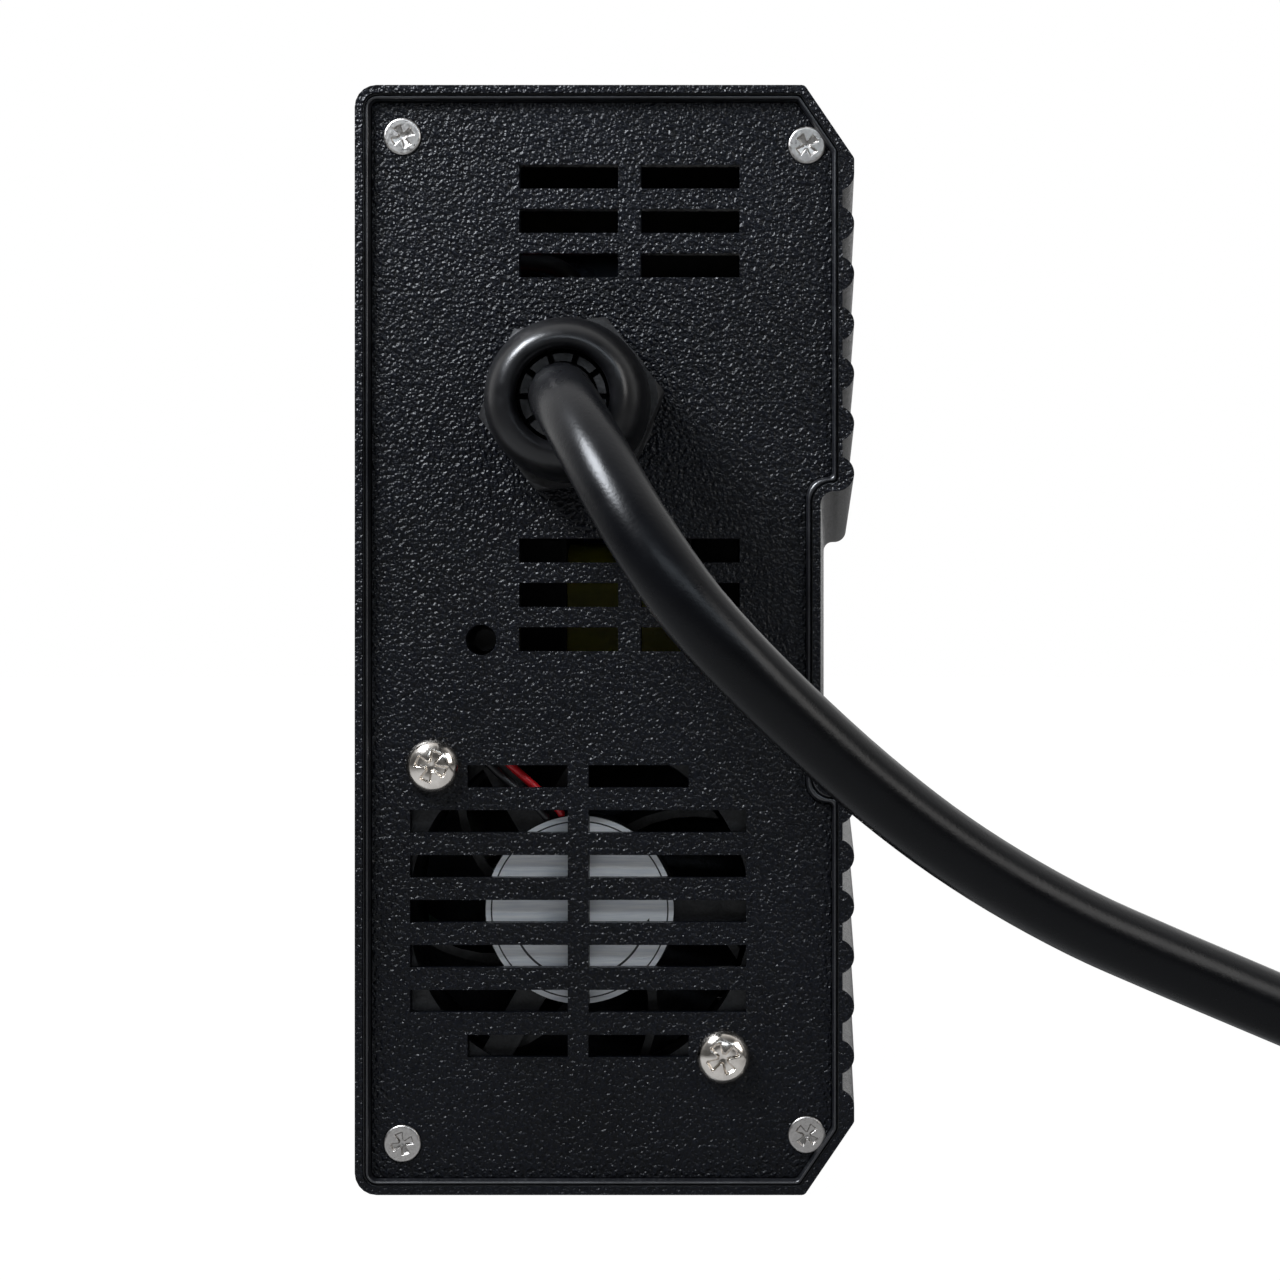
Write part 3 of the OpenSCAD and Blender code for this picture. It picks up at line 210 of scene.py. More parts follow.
# The floor: half its width in metres, its paper, and how much of it is plain white
FLOOR_GLOW = 0.15
FLOOR_HALF = 6
FLOOR_COLOUR = (0.35, 0.35, 0.35)
FLOOR_ROUGHNESS = 0.7
FLOOR_STRENGTH = 1.05
FLOOR_CLEAR = 0.95

# Meshes: distances in metres, angles in degrees, and counts
WELD = 2e-6
LEAST_GAP = 1e-9
FLAT_ANGLE = 0.6
QUAD_ANGLE = 1.2
SMOOTH_LEVELS = 2
FILLET_STEPS = 6
PRINT_STEPS = 96

# Painted shade in the hollows between the grains of the coat: their brightness as a share of its colour
HOLLOW_PAINTED_SHADE = 0.2


def colour_setting(name, description, value):
    return FloatVectorProperty(
        name=name, description=description, subtype="COLOR", size=3, min=0, max=1, default=value
    )


def length_setting(name, description, value):
    return FloatProperty(
        name=name, description=description, unit="LENGTH", min=0, precision=5, default=value
    )


class ChargerFinishes(PropertyGroup):
    """Colours and grain of the visible surfaces."""

    coat: colour_setting("Coat", "Colour of the textured coat on the case", (0.0034, 0.0040, 0.0066))
    panel: colour_setting("Panel", "Colour of the moulded end panels", (0.0024, 0.0030, 0.0054))
    trim: colour_setting("Trim", "Colour of the smooth frame inside the rim", (0.0042, 0.0046, 0.0064))
    jacket: colour_setting("Jacket", "Colour of the output lead's jacket", (0.0016, 0.0018, 0.0026))
    nickel: colour_setting("Nickel", "Colour of the bright screws", (0.74, 0.69, 0.63))
    steel: colour_setting("Steel", "Colour of the satin screws", (0.45, 0.43, 0.41))
    label: colour_setting("Label", "Colour of the film on the fan's hub", (0.90, 0.93, 0.98))
    grain: length_setting("Grain", "Width of one grain of the coat", 0.00055)
    grain_depth: length_setting("Grain depth", "Height of the grain of the coat", 0.0005)
    coat_shine: FloatProperty(
        name="Shine", description="Strength of the coat's highlights", min=0, max=1, default=0.16
    )


class LeadSizes(PropertyGroup):
    """Sizes of the output lead."""

    radius: length_setting("Radius", "Radius of the output lead", 0.0043)
    coil_radius: length_setting("Coil radius", "Middle radius of the coil", 0.048)
    sides: IntProperty(name="Roundness", description="Steps around a quarter of the lead", default=7)


class StudioSettings(PropertyGroup):
    """Camera and lamps."""

    camera_at: FloatVectorProperty(
        name="Camera", description="Place of the camera", subtype="TRANSLATION", unit="LENGTH",
        default=(0.0308, -0.556, 0.076),
    )
    lens: FloatProperty(name="Lens", description="Focal length in millimetres", default=90.6)
    shift: FloatProperty(name="Shift", description="Sideways lens shift", default=-0.148)
    key_power: FloatProperty(name="Key", description="Power of the lamp above the front", default=1.6)
    side_power: FloatProperty(name="Side", description="Power of the lamp at the ribs", default=0.6)
    long_power: FloatProperty(
        name="Long", description="Power of the long lamp above the lead", default=0.52
    )
    sky: FloatProperty(name="Sky", description="Strength of the even light", default=0.12)


# Node groups and materials


def shader_group(name, inputs, outputs):
    """An empty node group with float inputs and float outputs."""
    tree = bpy.data.node_groups.new(name, "ShaderNodeTree")
    for label, value in inputs.items():
        socket = tree.interface.new_socket(label, in_out="INPUT", socket_type="NodeSocketFloat")
        socket.default_value = value
    for label in outputs:
        tree.interface.new_socket(label, in_out="OUTPUT", socket_type="NodeSocketFloat")
    return tree, tree.nodes.new("NodeGroupInput"), tree.nodes.new("NodeGroupOutput")


def placed(tree, kind, settings=None, **inputs):
    """A node with its settings and the values or links of its inputs."""
    made = tree.nodes.new(kind)
    for key, value in (settings or {}).items():
        setattr(made, key, value)
    for key, value in inputs.items():
        label = key.replace("_", " ")
        socket = made.inputs[int(key[1:])] if key[1:].isdigit() else made.inputs[label]
        if isinstance(value, bpy.types.NodeSocket):
            tree.links.new(value, socket)
        else:
            socket.default_value = value
    return made


def maths(tree, operation, first, second=0.0):
    return placed(tree, "ShaderNodeMath", {"operation": operation}, i0=first, i1=second).outputs[0]


def pebble_group():
    """Fine relief of a textured coat; its tone is partly broad random change and partly follows the
    relief, for painted shade in the hollows.
    """
    tree, given, result = shader_group(
        "pebble grain", {"Width": 0.0005, "Drift": 0.02}, ["Height", "Tone", "Gloss"]
    )
    place = tree.nodes.new("ShaderNodeTexCoord").outputs["Object"]
    density = maths(tree, "DIVIDE", 1.0, given.outputs["Width"])
    relief = placed(tree, "ShaderNodeTexNoise", Vector=place, Scale=density, Detail=1.2)
    patches = placed(
        tree, "ShaderNodeTexNoise", Vector=place, Scale=maths(tree, "MULTIPLY", density, 0.4), Detail=1.0
    )
    broad = placed(
        tree, "ShaderNodeTexNoise", Vector=place,
        Scale=maths(tree, "DIVIDE", 1.0, given.outputs["Drift"]), Detail=3.0,
    )
    tone = maths(
        tree, "ADD", maths(tree, "MULTIPLY", broad.outputs["Fac"], 0.3),
        maths(tree, "MULTIPLY", relief.outputs["Fac"], 0.7),
    )
    tree.links.new(relief.outputs["Fac"], result.inputs["Height"])
    tree.links.new(tone, result.inputs["Tone"])
    tree.links.new(patches.outputs["Fac"], result.inputs["Gloss"])
    return tree


def cloud_group():
    """Soft uneven tone with fine specks, as on moulded and sleeved parts."""
    tree, given, result = shader_group("soft clouds", {"Width": 0.006}, ["Tone", "Height"])
    place = tree.nodes.new("ShaderNodeTexCoord").outputs["Object"]
    density = maths(tree, "DIVIDE", 1.0, given.outputs["Width"])
    broad = placed(tree, "ShaderNodeTexNoise", Vector=place, Scale=density, Detail=4.0)
    fine = placed(
        tree, "ShaderNodeTexNoise", Vector=place, Scale=maths(tree, "MULTIPLY", density, 9.0), Detail=2.0
    )
    tree.links.new(broad.outputs["Fac"], result.inputs["Tone"])
    tree.links.new(fine.outputs["Fac"], result.inputs["Height"])
    return tree


def streak_group():
    """Long fine lines along one direction, as left by drawing or brushing."""
    tree, given, result = shader_group(
        "drawn streaks", {"Width": 0.0002, "Along X": 1.0, "Along Y": 1.0, "Along Z": 1.0},
        ["Tone", "Height"],
    )
    place = tree.nodes.new("ShaderNodeTexCoord").outputs["Object"]
    stretch = placed(
        tree, "ShaderNodeCombineXYZ", X=given.outputs["Along X"], Y=given.outputs["Along Y"],
        Z=given.outputs["Along Z"],
    )
    drawn = placed(
        tree, "ShaderNodeVectorMath", {"operation": "MULTIPLY"}, i0=place, i1=stretch.outputs[0]
    )
    density = maths(tree, "DIVIDE", 1.0, given.outputs["Width"])
    lines = placed(tree, "ShaderNodeTexNoise", Vector=drawn.outputs[0], Scale=density, Detail=2.0)
    tree.links.new(lines.outputs["Fac"], result.inputs["Tone"])
    tree.links.new(lines.outputs["Fac"], result.inputs["Height"])
    return tree


GROUP_MAKERS = {"pebble grain": pebble_group, "soft clouds": cloud_group, "drawn streaks": streak_group}


def started(name, colour, roughness, metallic=0.0, **shader_values):
    """A material with its Principled shader, and the values that are the same all over."""
    material = bpy.data.materials.new(f"{name} finish")
    material.use_nodes = True
    material.diffuse_color = (*colour, 1)
    shader = material.node_tree.nodes["Principled BSDF"]
    shader.inputs["Base Color"].default_value = (*colour, 1)
    shader.inputs["Roughness"].default_value = roughness
    shader.inputs["Metallic"].default_value = metallic
    for key, value in shader_values.items():
        shader.inputs[key.replace("_", " ")].default_value = value
    return material.node_tree, shader


def grouped(tree, name, **values):
    made = tree.nodes.new("ShaderNodeGroup")
    made.node_tree = bpy.data.node_groups.get(name) or GROUP_MAKERS[name]()
    for key, value in values.items():
        made.inputs[key.replace("_", " ")].default_value = value
    return made


def toned(tree, shader, tone, low, high, start=0.3, end=0.7):
    """Base colour between two colours, after a mask."""
    ramp = tree.nodes.new("ShaderNodeValToRGB")
    ramp.color_ramp.elements[0].position = start
    ramp.color_ramp.elements[0].color = (*low, 1)
    ramp.color_ramp.elements[1].position = end
    ramp.color_ramp.elements[1].color = (*high, 1)
    tree.links.new(tone, ramp.inputs["Fac"])
    tree.links.new(ramp.outputs["Color"], shader.inputs["Base Color"])


def roughened(tree, shader, mask, low, high):
    span = placed(
        tree, "ShaderNodeMapRange", Value=mask, From_Min=0.3, From_Max=0.7, To_Min=low, To_Max=high
    )
    tree.links.new(span.outputs["Result"], shader.inputs["Roughness"])


def bumped(tree, shader, height, depth):
    bump = placed(tree, "ShaderNodeBump", Height=height, Distance=depth, Strength=1.0)
    tree.links.new(bump.outputs["Normal"], shader.inputs["Normal"])


def shaded(colour, factor):
    return tuple(min(1.0, part * factor) for part in colour)


def grained_finish(name, colour, width, depth, rough, **shader_values):
    """Powder coat or moulded plastic: the colour of its rounded grains, with painted shade darkening the
    hollows.
    """
    tree, shader = started(name, colour, rough[0], **shader_values)
    grain = grouped(tree, "pebble grain", Width=width)
    # Painted shade: the base colour falls to a share of the grain's colour where the relief is low.
    toned(tree, shader, grain.outputs["Tone"], shaded(colour, HOLLOW_PAINTED_SHADE), colour, 0.35, 0.65)
    roughened(tree, shader, grain.outputs["Gloss"], *rough)
    bumped(tree, shader, grain.outputs["Height"], depth)
    return tree, shader


def within(tree, value, low, high):
    """One where a coordinate lies between two places, in millimetres, and zero elsewhere."""
    middle, reach = (low + high) / 2 * MM, (high - low) / 2 * MM
    off = maths(tree, "ABSOLUTE", maths(tree, "SUBTRACT", value, middle))
    return maths(tree, "LESS_THAN", off, reach)


def case_finish(name, colour, width, depth, rough, **shader_values):
    """The grained coat outside, and the case's matt inside, darkened with painted shade."""
    tree, shader = grained_finish(name, colour, width, depth, rough, **shader_values)
    place = placed(
        tree, "ShaderNodeSeparateXYZ", Vector=tree.nodes.new("ShaderNodeTexCoord").outputs["Object"]
    )
    inside = within(tree, place.outputs["X"], *INSIDE_X)
    for axis, limits in (("Y", (PANEL_BACK_Y, -PANEL_BACK_Y)), ("Z", INSIDE_Z)):
        inside = maths(tree, "MULTIPLY", inside, within(tree, place.outputs[axis], *limits))
    coat = shader.inputs["Roughness"].links[0].from_socket
    tree.links.new(maths(tree, "MAXIMUM", coat, inside), shader.inputs["Roughness"])
    # Painted shade: inside the walls the base colour is darkened to a share of the coat's colour.
    shown = shader.inputs["Base Color"].links[0].from_socket
    painted_shade_inside = placed(
        tree, "ShaderNodeMix", {"data_type": "RGBA"}, Factor=inside, i6=shown,
        i7=(*shaded(colour, INSIDE_PAINTED_SHADE), 1),
    )
    tree.links.new(painted_shade_inside.outputs[2], shader.inputs["Base Color"])


def clouded_finish(name, colour, width, depth, rough, **shader_values):
    """Plain moulded, sleeved or sintered surfaces with a soft uneven tone."""
    tree, shader = started(name, colour, rough[0], **shader_values)
    cloud = grouped(tree, "soft clouds", Width=width)
    toned(tree, shader, cloud.outputs["Tone"], shaded(colour, 0.82), shaded(colour, 1.15))
    roughened(tree, shader, cloud.outputs["Tone"], *rough)
    bumped(tree, shader, cloud.outputs["Height"], depth)


def drawn_finish(name, colour, width, along, depth, rough, metallic=1.0):
    """Metal or film with fine lines along one direction."""
    tree, shader = started(name, colour, rough[0], metallic)
    lines = grouped(
        tree, "drawn streaks", Width=width, Along_X=along[0], Along_Y=along[1], Along_Z=along[2]
    )
    toned(tree, shader, lines.outputs["Tone"], shaded(colour, 0.86), shaded(colour, 1.1))
    roughened(tree, shader, lines.outputs["Tone"], *rough)
    bumped(tree, shader, lines.outputs["Height"], depth)


def board_finish(name):
    """Green solder mask over copper tracks."""
    colour = (0.012, 0.075, 0.03)
    tree, shader = started(name, colour, 0.35, Coat_Weight=0.4, Coat_Roughness=0.2)
    place = tree.nodes.new("ShaderNodeTexCoord").outputs["Object"]
    tracks = placed(
        tree, "ShaderNodeTexBrick", {"offset": 0.37, "squash": 1.0}, Vector=place, Scale=90.0,
        Mortar_Size=0.06, Color1=(*colour, 1), Color2=(*shaded(colour, 1.3), 1),
        Mortar=(*shaded(colour, 2.2), 1),
    )
    tree.links.new(tracks.outputs["Color"], shader.inputs["Base Color"])
    cloud = grouped(tree, "soft clouds", Width=0.004)
    roughened(tree, shader, cloud.outputs["Tone"], 0.28, 0.42)
    bumped(tree, shader, tracks.outputs["Fac"], 0.00004)


def strap_finish(name):
    """Woven strap: fine ribs along the lead and across it."""
    colour = (0.018, 0.018, 0.021)
    tree, shader = started(name, colour, 0.85, Sheen_Weight=0.3)
    place = tree.nodes.new("ShaderNodeTexCoord").outputs["Object"]
    first = placed(
        tree, "ShaderNodeTexWave", {"bands_direction": "DIAGONAL"}, Vector=place, Scale=420.0,
        Distortion=0.6,
    )
    second = placed(
        tree, "ShaderNodeTexWave", {"bands_direction": "Z"}, Vector=place, Scale=520.0, Distortion=0.6
    )
    weave = maths(tree, "ADD", first.outputs["Fac"], second.outputs["Fac"])
    toned(tree, shader, maths(tree, "MULTIPLY", weave, 0.5), shaded(colour, 0.6), shaded(colour, 1.5))
    bumped(tree, shader, weave, 0.00012)


def glass_finish(name):
    tree, shader = started(
        name, (0.85, 0.88, 0.88), 0.06, Transmission_Weight=0.9, IOR=1.45
    )
    cloud = grouped(tree, "soft clouds", Width=0.003)
    bumped(tree, shader, cloud.outputs["Height"], 0.00001)


def make_finishes(look):
    """Every finish, each named after a material slot of the record."""
    case_finish(
        "case_coat", tuple(look.coat), look.grain, look.grain_depth, (0.30, 0.36),
        Specular_IOR_Level=look.coat_shine,
    )
    grained_finish(
        "panel_plastic", tuple(look.panel), look.grain, look.grain_depth, (0.30, 0.36),
        Specular_IOR_Level=look.coat_shine,
    )
    clouded_finish(
        "trim_plastic", tuple(look.trim), 0.004, 0.00001, (0.28, 0.38), Specular_IOR_Level=0.8
    )
    drawn_finish("bright_nickel", tuple(look.nickel), 0.0011, (1, 1, 1), 0.00001, (0.10, 0.22))
    drawn_finish("satin_nickel", tuple(look.steel), 0.0004, (1, 1, 1), 0.00001, (0.26, 0.42))
    grained_finish("fan_plastic", (0.016, 0.017, 0.020), 0.0004, 0.00004, (0.4, 0.55))
    clouded_finish("magnet", (0.05, 0.045, 0.042), 0.002, 0.00003, (0.5, 0.65))
    drawn_finish("steel", (0.55, 0.55, 0.56), 0.0002, (1, 0.1, 1), 0.00001, (0.22, 0.34))
    drawn_finish("bronze", (0.60, 0.44, 0.20), 0.0003, (1, 0.1, 1), 0.00001, (0.25, 0.4))
    drawn_finish("copper", (0.55, 0.22, 0.08), 0.0005, (1, 0.05, 1), 0.00006, (0.22, 0.34))
    drawn_finish("label_silver", tuple(look.label), 0.00035, (0.06, 1, 1), 0.000003, (0.40, 0.5), 0.0)
    clouded_finish("red_sleeve", (0.72, 0.012, 0.020), 0.003, 0.00003, (0.28, 0.4))
    clouded_finish("black_sleeve", (0.02, 0.02, 0.022), 0.003, 0.00003, (0.3, 0.42))
    grained_finish(
        "gland_matt", (0.011, 0.011, 0.012), 0.00045, 0.00004, (0.48, 0.56), Specular_IOR_Level=0.4
    )
    clouded_finish(
        "gland_gloss", (0.0030, 0.0030, 0.0036), 0.0016, 0.000018, (0.28, 0.38), Coat_Weight=0.12,
        Coat_Roughness=0.16, Specular_IOR_Level=0.3,
    )
    clouded_finish("soft_rubber", (0.014, 0.014, 0.015), 0.002, 0.00005, (0.6, 0.75))
    clouded_finish(
        "lead_jacket", tuple(look.jacket), 0.005, 0.00002, (0.25, 0.31), Specular_IOR_Level=0.17
    )
    strap_finish("strap")
    grained_finish("connector_plastic", (0.018, 0.018, 0.020), 0.0004, 0.00003, (0.42, 0.55))
    board_finish("board_green")
    clouded_finish("sheet_clear", (0.62, 0.56, 0.43), 0.01, 0.00003, (0.3, 0.45))
    clouded_finish("ferrite", (0.028, 0.029, 0.032), 0.0015, 0.00006, (0.5, 0.7))
    clouded_finish("yellow_tape", (0.62, 0.58, 0.03), 0.006, 0.00008, (0.22, 0.36))
    clouded_finish("bobbin_plastic", (0.012, 0.012, 0.013), 0.003, 0.00003, (0.4, 0.5))
    clouded_finish("mains_sleeve", (0.018, 0.035, 0.11), 0.008, 0.00003, (0.22, 0.34))
    clouded_finish("dark_sleeve", (0.014, 0.016, 0.022), 0.006, 0.00003, (0.22, 0.34))
    clouded_finish("yellow_box", (0.46, 0.33, 0.04), 0.005, 0.00003, (0.3, 0.42))
    glass_finish("fuse_glass")
    drawn_finish("sink_aluminium", (0.56, 0.57, 0.58), 0.0003, (1, 0.03, 1), 0.00003, (0.32, 0.46))
    clouded_finish("moulded_black", (0.013, 0.013, 0.013), 0.002, 0.00003, (0.45, 0.6))
    clouded_finish("lamp_lens", (0.0006, 0.0010, 0.0006), 0.002, 0.00001, (0.5, 0.6))
    grained_finish("inlet_plastic", (0.014, 0.014, 0.016), 0.0004, 0.00003, (0.36, 0.5))
    clouded_finish("brown_sleeve", (0.14, 0.05, 0.015), 0.003, 0.00003, (0.3, 0.42))
    clouded_finish("blue_sleeve", (0.015, 0.09, 0.36), 0.003, 0.00003, (0.3, 0.42))
    clouded_finish("earth_sleeve", (0.20, 0.33, 0.03), 0.003, 0.00003, (0.3, 0.42))


def finish_of(slot):
    return bpy.data.materials[f"{slot} finish"]


# Shapes


def added(name, mesh, slot, body="case", node=None):
    """Puts a mesh or curve in the scene as a piece of the charger."""
    piece = bpy.data.objects.new(name, mesh)
    bpy.context.scene.collection.objects.link(piece)
    piece.data.materials.clear()
    piece.data.materials.append(finish_of(slot))
    if node:
        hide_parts(node)
    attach(piece, body)
    return piece


def meshed(name, bm):
    mesh = bpy.data.meshes.new(name)
    bmesh.ops.recalc_face_normals(bm, faces=bm.faces)
    bm.to_mesh(mesh)
    bm.free()
    return mesh


def smoothed(mesh, angle):
    """Smooth shading up to an angle in degrees, with sharp edges above it."""
    bm = bmesh.new()
    bm.from_mesh(mesh)
    for face in bm.faces:
        face.smooth = True
    for edge in bm.edges:
        edge.smooth = len(edge.link_faces) == 2 and edge.calc_face_angle(0.0) < math.radians(angle)
    bm.to_mesh(mesh)
    bm.free()


def body_of(node):
    for body, names in frame["record"]["behaviour"]["bodies"].items():
        if node in names:
            return body
    raise ValueError(f"{node} is on no body")


def softened(node, width, segments=2, angle=28):
    """A copy of a rigid node with its sharp edges rounded."""
    mesh = NODES[node].data.copy()
    bm = bmesh.new()
    bm.from_mesh(mesh)
    bmesh.ops.remove_doubles(bm, verts=bm.verts, dist=WELD)
    bmesh.ops.dissolve_limit(
        bm, angle_limit=math.radians(FLAT_ANGLE), verts=bm.verts, edges=bm.edges, delimit={"NORMAL"}
    )
    sharp = [
        edge for edge in bm.edges
        if len(edge.link_faces) == 2 and edge.calc_face_angle(0.0) > math.radians(angle)
    ]
    bmesh.ops.bevel(
        bm, geom=sharp, offset=width, offset_type="OFFSET", segments=segments, profile=0.5,
        affect="EDGES", clamp_overlap=True,
    )
    for face in bm.faces:
        face.smooth = True
    bm.to_mesh(mesh)
    bm.free()
    piece = added(f"{node}_soft", mesh, SLOT_OF[node], body_of(node), node)
    weigh = piece.modifiers.new("even shading", "WEIGHTED_NORMAL")
    weigh.keep_sharp = False
    weigh.weight = 80
    return piece


def rounded_off(node):
    """A smooth copy of a soft or bent node, such as a wire."""
    mesh = NODES[node].data.copy()
    bm = bmesh.new()
    bm.from_mesh(mesh)
    bmesh.ops.remove_doubles(bm, verts=bm.verts, dist=WELD)
    bmesh.ops.join_triangles(
        bm, faces=bm.faces, angle_face_threshold=QUAD_ANGLE, angle_shape_threshold=QUAD_ANGLE
    )
    bm.to_mesh(mesh)
    bm.free()
    smoothed(mesh, 80)
    piece = added(f"{node}_smooth", mesh, SLOT_OF[node], body_of(node), node)
    finer = piece.modifiers.new("finer", "SUBSURF")
    finer.levels = SMOOTH_LEVELS
    finer.render_levels = SMOOTH_LEVELS
    return piece


def turned(name, outline, centre, y, slot, steps, node):
    """A lathe-turned piece out of the front: outline of (radius, height) in millimetres."""
    bm = bmesh.new()
    loops = []
    for radius, height in outline:
        loops.append([
            bm.verts.new((
                (centre[0] + radius * math.cos(math.tau * k / steps)) * MM,
                (y - height) * MM,
                (centre[1] + radius * math.sin(math.tau * k / steps)) * MM,
            ))
            for k in range(steps)
        ])
    for near, far in zip(loops, loops[1:] + loops[:1]):
        for k in range(steps):
            m = (k + 1) % steps
            bm.faces.new((near[k], near[m], far[m], far[k]))
    mesh = meshed(name, bm)
    smoothed(mesh, 40)
    return added(name, mesh, slot, "case", node)


def through_points(points, step):
    """Even points on a smooth line through the given points."""
    knots = [Vector(p) for p in points]
    line = []
    for i in range(len(knots) - 1):
        before = knots[max(i - 1, 0)]
        start, end = knots[i], knots[i + 1]
        after = knots[min(i + 2, len(knots) - 1)]
        gap = (end - start).length
        lead_in = (end - before) * gap / max(gap + (start - before).length, LEAST_GAP)
        lead_out = (after - start) * gap / max((after - end).length + gap, LEAST_GAP)
        count = max(1, round(gap / step))
        for k in range(count):
            t = k / count
            line.append(
                start * (2 * t**3 - 3 * t**2 + 1) + lead_in * (t**3 - 2 * t**2 + t)
                + end * (3 * t**2 - 2 * t**3) + lead_out * (t**3 - t**2)
            )
    line.append(knots[-1])
    return line


def drawn_tube(name, line, radius, sides, slot):
    """A round tube along a line, as one open spline."""
    curve = bpy.data.curves.new(name, "CURVE")
    curve.dimensions = "3D"
    curve.bevel_depth = radius
    curve.bevel_resolution = sides
    curve.use_fill_caps = True
    spline = curve.splines.new("POLY")
    spline.points.add(len(line) - 1)
    spline.use_smooth = True
    for point, place in zip(spline.points, line):
        point.co = (*place, 1)
    return added(name, curve, slot)


def length_of(line):
    return sum((b - a).length for a, b in zip(line, line[1:]))


def eased(t):
    t = min(max(t, 0.0), 1.0)
    return t * t * (3 - 2 * t)


def moved(turn, stretch):
    """Share of a move that is done at a turn, with the turn where it starts and its length."""
    return eased((turn - stretch[0]) / stretch[1])


def coil_point(turn, sizes):
    """Place on the coil after so many degrees from its first point, nearest the cable end."""
    wide = sizes.coil_radius + sizes.radius
    narrow = sizes.coil_radius - sizes.radius
    over = 2 * sizes.radius + LANE_GAP
    groove = sizes.radius * math.sqrt(3)
    radius = wide + (narrow - wide) * moved(turn, MOVES_IN)
    if turn > 360:
        radius = narrow + (sizes.coil_radius - narrow) * moved(turn, MOVES_OUT)
    lift = over * moved(turn, CLIMBS) - (over - groove) * moved(turn, SETTLES)
    angle = math.radians(turn - 90)
    return (
        COIL_CENTRE[0] + radius * math.cos(angle),
        COIL_CENTRE[1] + radius * math.sin(angle),
        COIL_LOW + lift,
    )


def star_depth(u, v, arm, depth, turn):
    """Depth of a cross recess with flared arms, at a point of a screw head."""
    c, s = math.cos(turn), math.sin(turn)
    a, b = abs(u * c + v * s), abs(v * c - u * s)
    inside = max(
        min(arm * (CROSS_ROOT + CROSS_FLARE * a / arm) - b, arm - a),
        min(arm * (CROSS_ROOT + CROSS_FLARE * b / arm) - a, arm - b),
        arm * CROSS_MIDDLE - math.hypot(a, b),
    )
    slope = 1 - CROSS_SLOPE * min(math.hypot(a, b) / arm, 1.0)
    return depth * eased(inside / (arm * CROSS_WALL)) * slope


def screw_into(bm, place, y, facing, turn, head, recess, shank):
    """One screw, from its head's and cross's sizes and its shank's radius and length."""
    radius, crown, flat, rim = head
    rings, steps = HEAD_RINGS, HEAD_STEPS
    spread = DOMED_SPREAD if flat < 0.5 else 1.0

    def at(u, v, w):
        return bm.verts.new(((place[0] + u) * MM, (y + facing * w) * MM, (place[1] + v) * MM))

    def crown_at(r):
        share = r / radius
        if share <= flat:
            return rim + crown
        return rim + crown * math.sqrt(max(0.0, 1 - ((share - flat) / (1 - flat)) ** 2))

    middle = at(0, 0, crown_at(0) - star_depth(0, 0, recess[0], recess[1], turn))
    loops = []
    for i in range(1, rings + 1):
        r = radius * (i / rings) ** spread
        loop = []
        for k in range(steps):
            angle = math.tau * k / steps
            u, v = r * math.cos(angle), r * math.sin(angle)
            loop.append(at(u, v, crown_at(r) - star_depth(u, v, recess[0], recess[1], turn)))
        loops.append(loop)
    for r, w in ((radius, 0.0), (shank[0], 0.0), (shank[0], -shank[1])):
        loops.append([
            at(r * math.cos(math.tau * k / steps), r * math.sin(math.tau * k / steps), w)
            for k in range(steps)
        ])
    for k in range(steps):
        bm.faces.new((middle, loops[0][k], loops[0][(k + 1) % steps]))
    for near, far in zip(loops, loops[1:]):
        for k in range(steps):
            m = (k + 1) % steps
            bm.faces.new((near[k], far[k], far[m], near[m]))
    bm.faces.new(loops[-1])


def screws(name, places, y, facing, turns, head, recess, shank, slot, node):
    """A row of equal screws as one piece, each turned by its own angle in degrees."""
    bm = bmesh.new()
    for place, turn in zip(places, turns):
        screw_into(bm, place, y, facing, math.radians(turn), head, recess, shank)
    mesh = meshed(name, bm)
    smoothed(mesh, 50)
    return added(name, mesh, slot, "case", node)


def ring_sheet(name, radii, span, y, slot):
    """A flat arc of print on the fan's hub, between two radii and two angles in degrees."""
    (inner, outer), (start, end) = radii, span
    bm = bmesh.new()
    near, far = [], []
    for k in range(PRINT_STEPS + 1):
        angle = math.radians(start + (end - start) * k / PRINT_STEPS)
        for radius, store in ((inner, near), (outer, far)):
            store.append(bm.verts.new((
                (FAN_CENTRE[0] + radius * math.cos(angle)) * MM,
                y * MM,
                (FAN_CENTRE[1] + radius * math.sin(angle)) * MM,
            )))
    for k in range(PRINT_STEPS):
        bm.faces.new((near[k], near[k + 1], far[k + 1], far[k]))
    return added(name, meshed(name, bm), slot)


def filleted(corners):
    """An outline with an arc at each corner, given as (x, z, radius)."""
    points = []
    count = len(corners)
    for i, (x, z, radius) in enumerate(corners):
        tip = Vector((x, z))
        before = (Vector(corners[i - 1][:2]) - tip).normalized()
        after = (Vector(corners[(i + 1) % count][:2]) - tip).normalized()
        half = before.angle(after) / 2
        centre = tip + (before + after).normalized() * radius / math.sin(half)
        start = tip + before * radius / math.tan(half) - centre
        sweep = (math.pi - 2 * half) * (1 if before.cross(after) < 0 else -1)
        for k in range(FILLET_STEPS + 1):
            points.append(centre + Matrix.Rotation(sweep * k / FILLET_STEPS, 2) @ start)
    return points


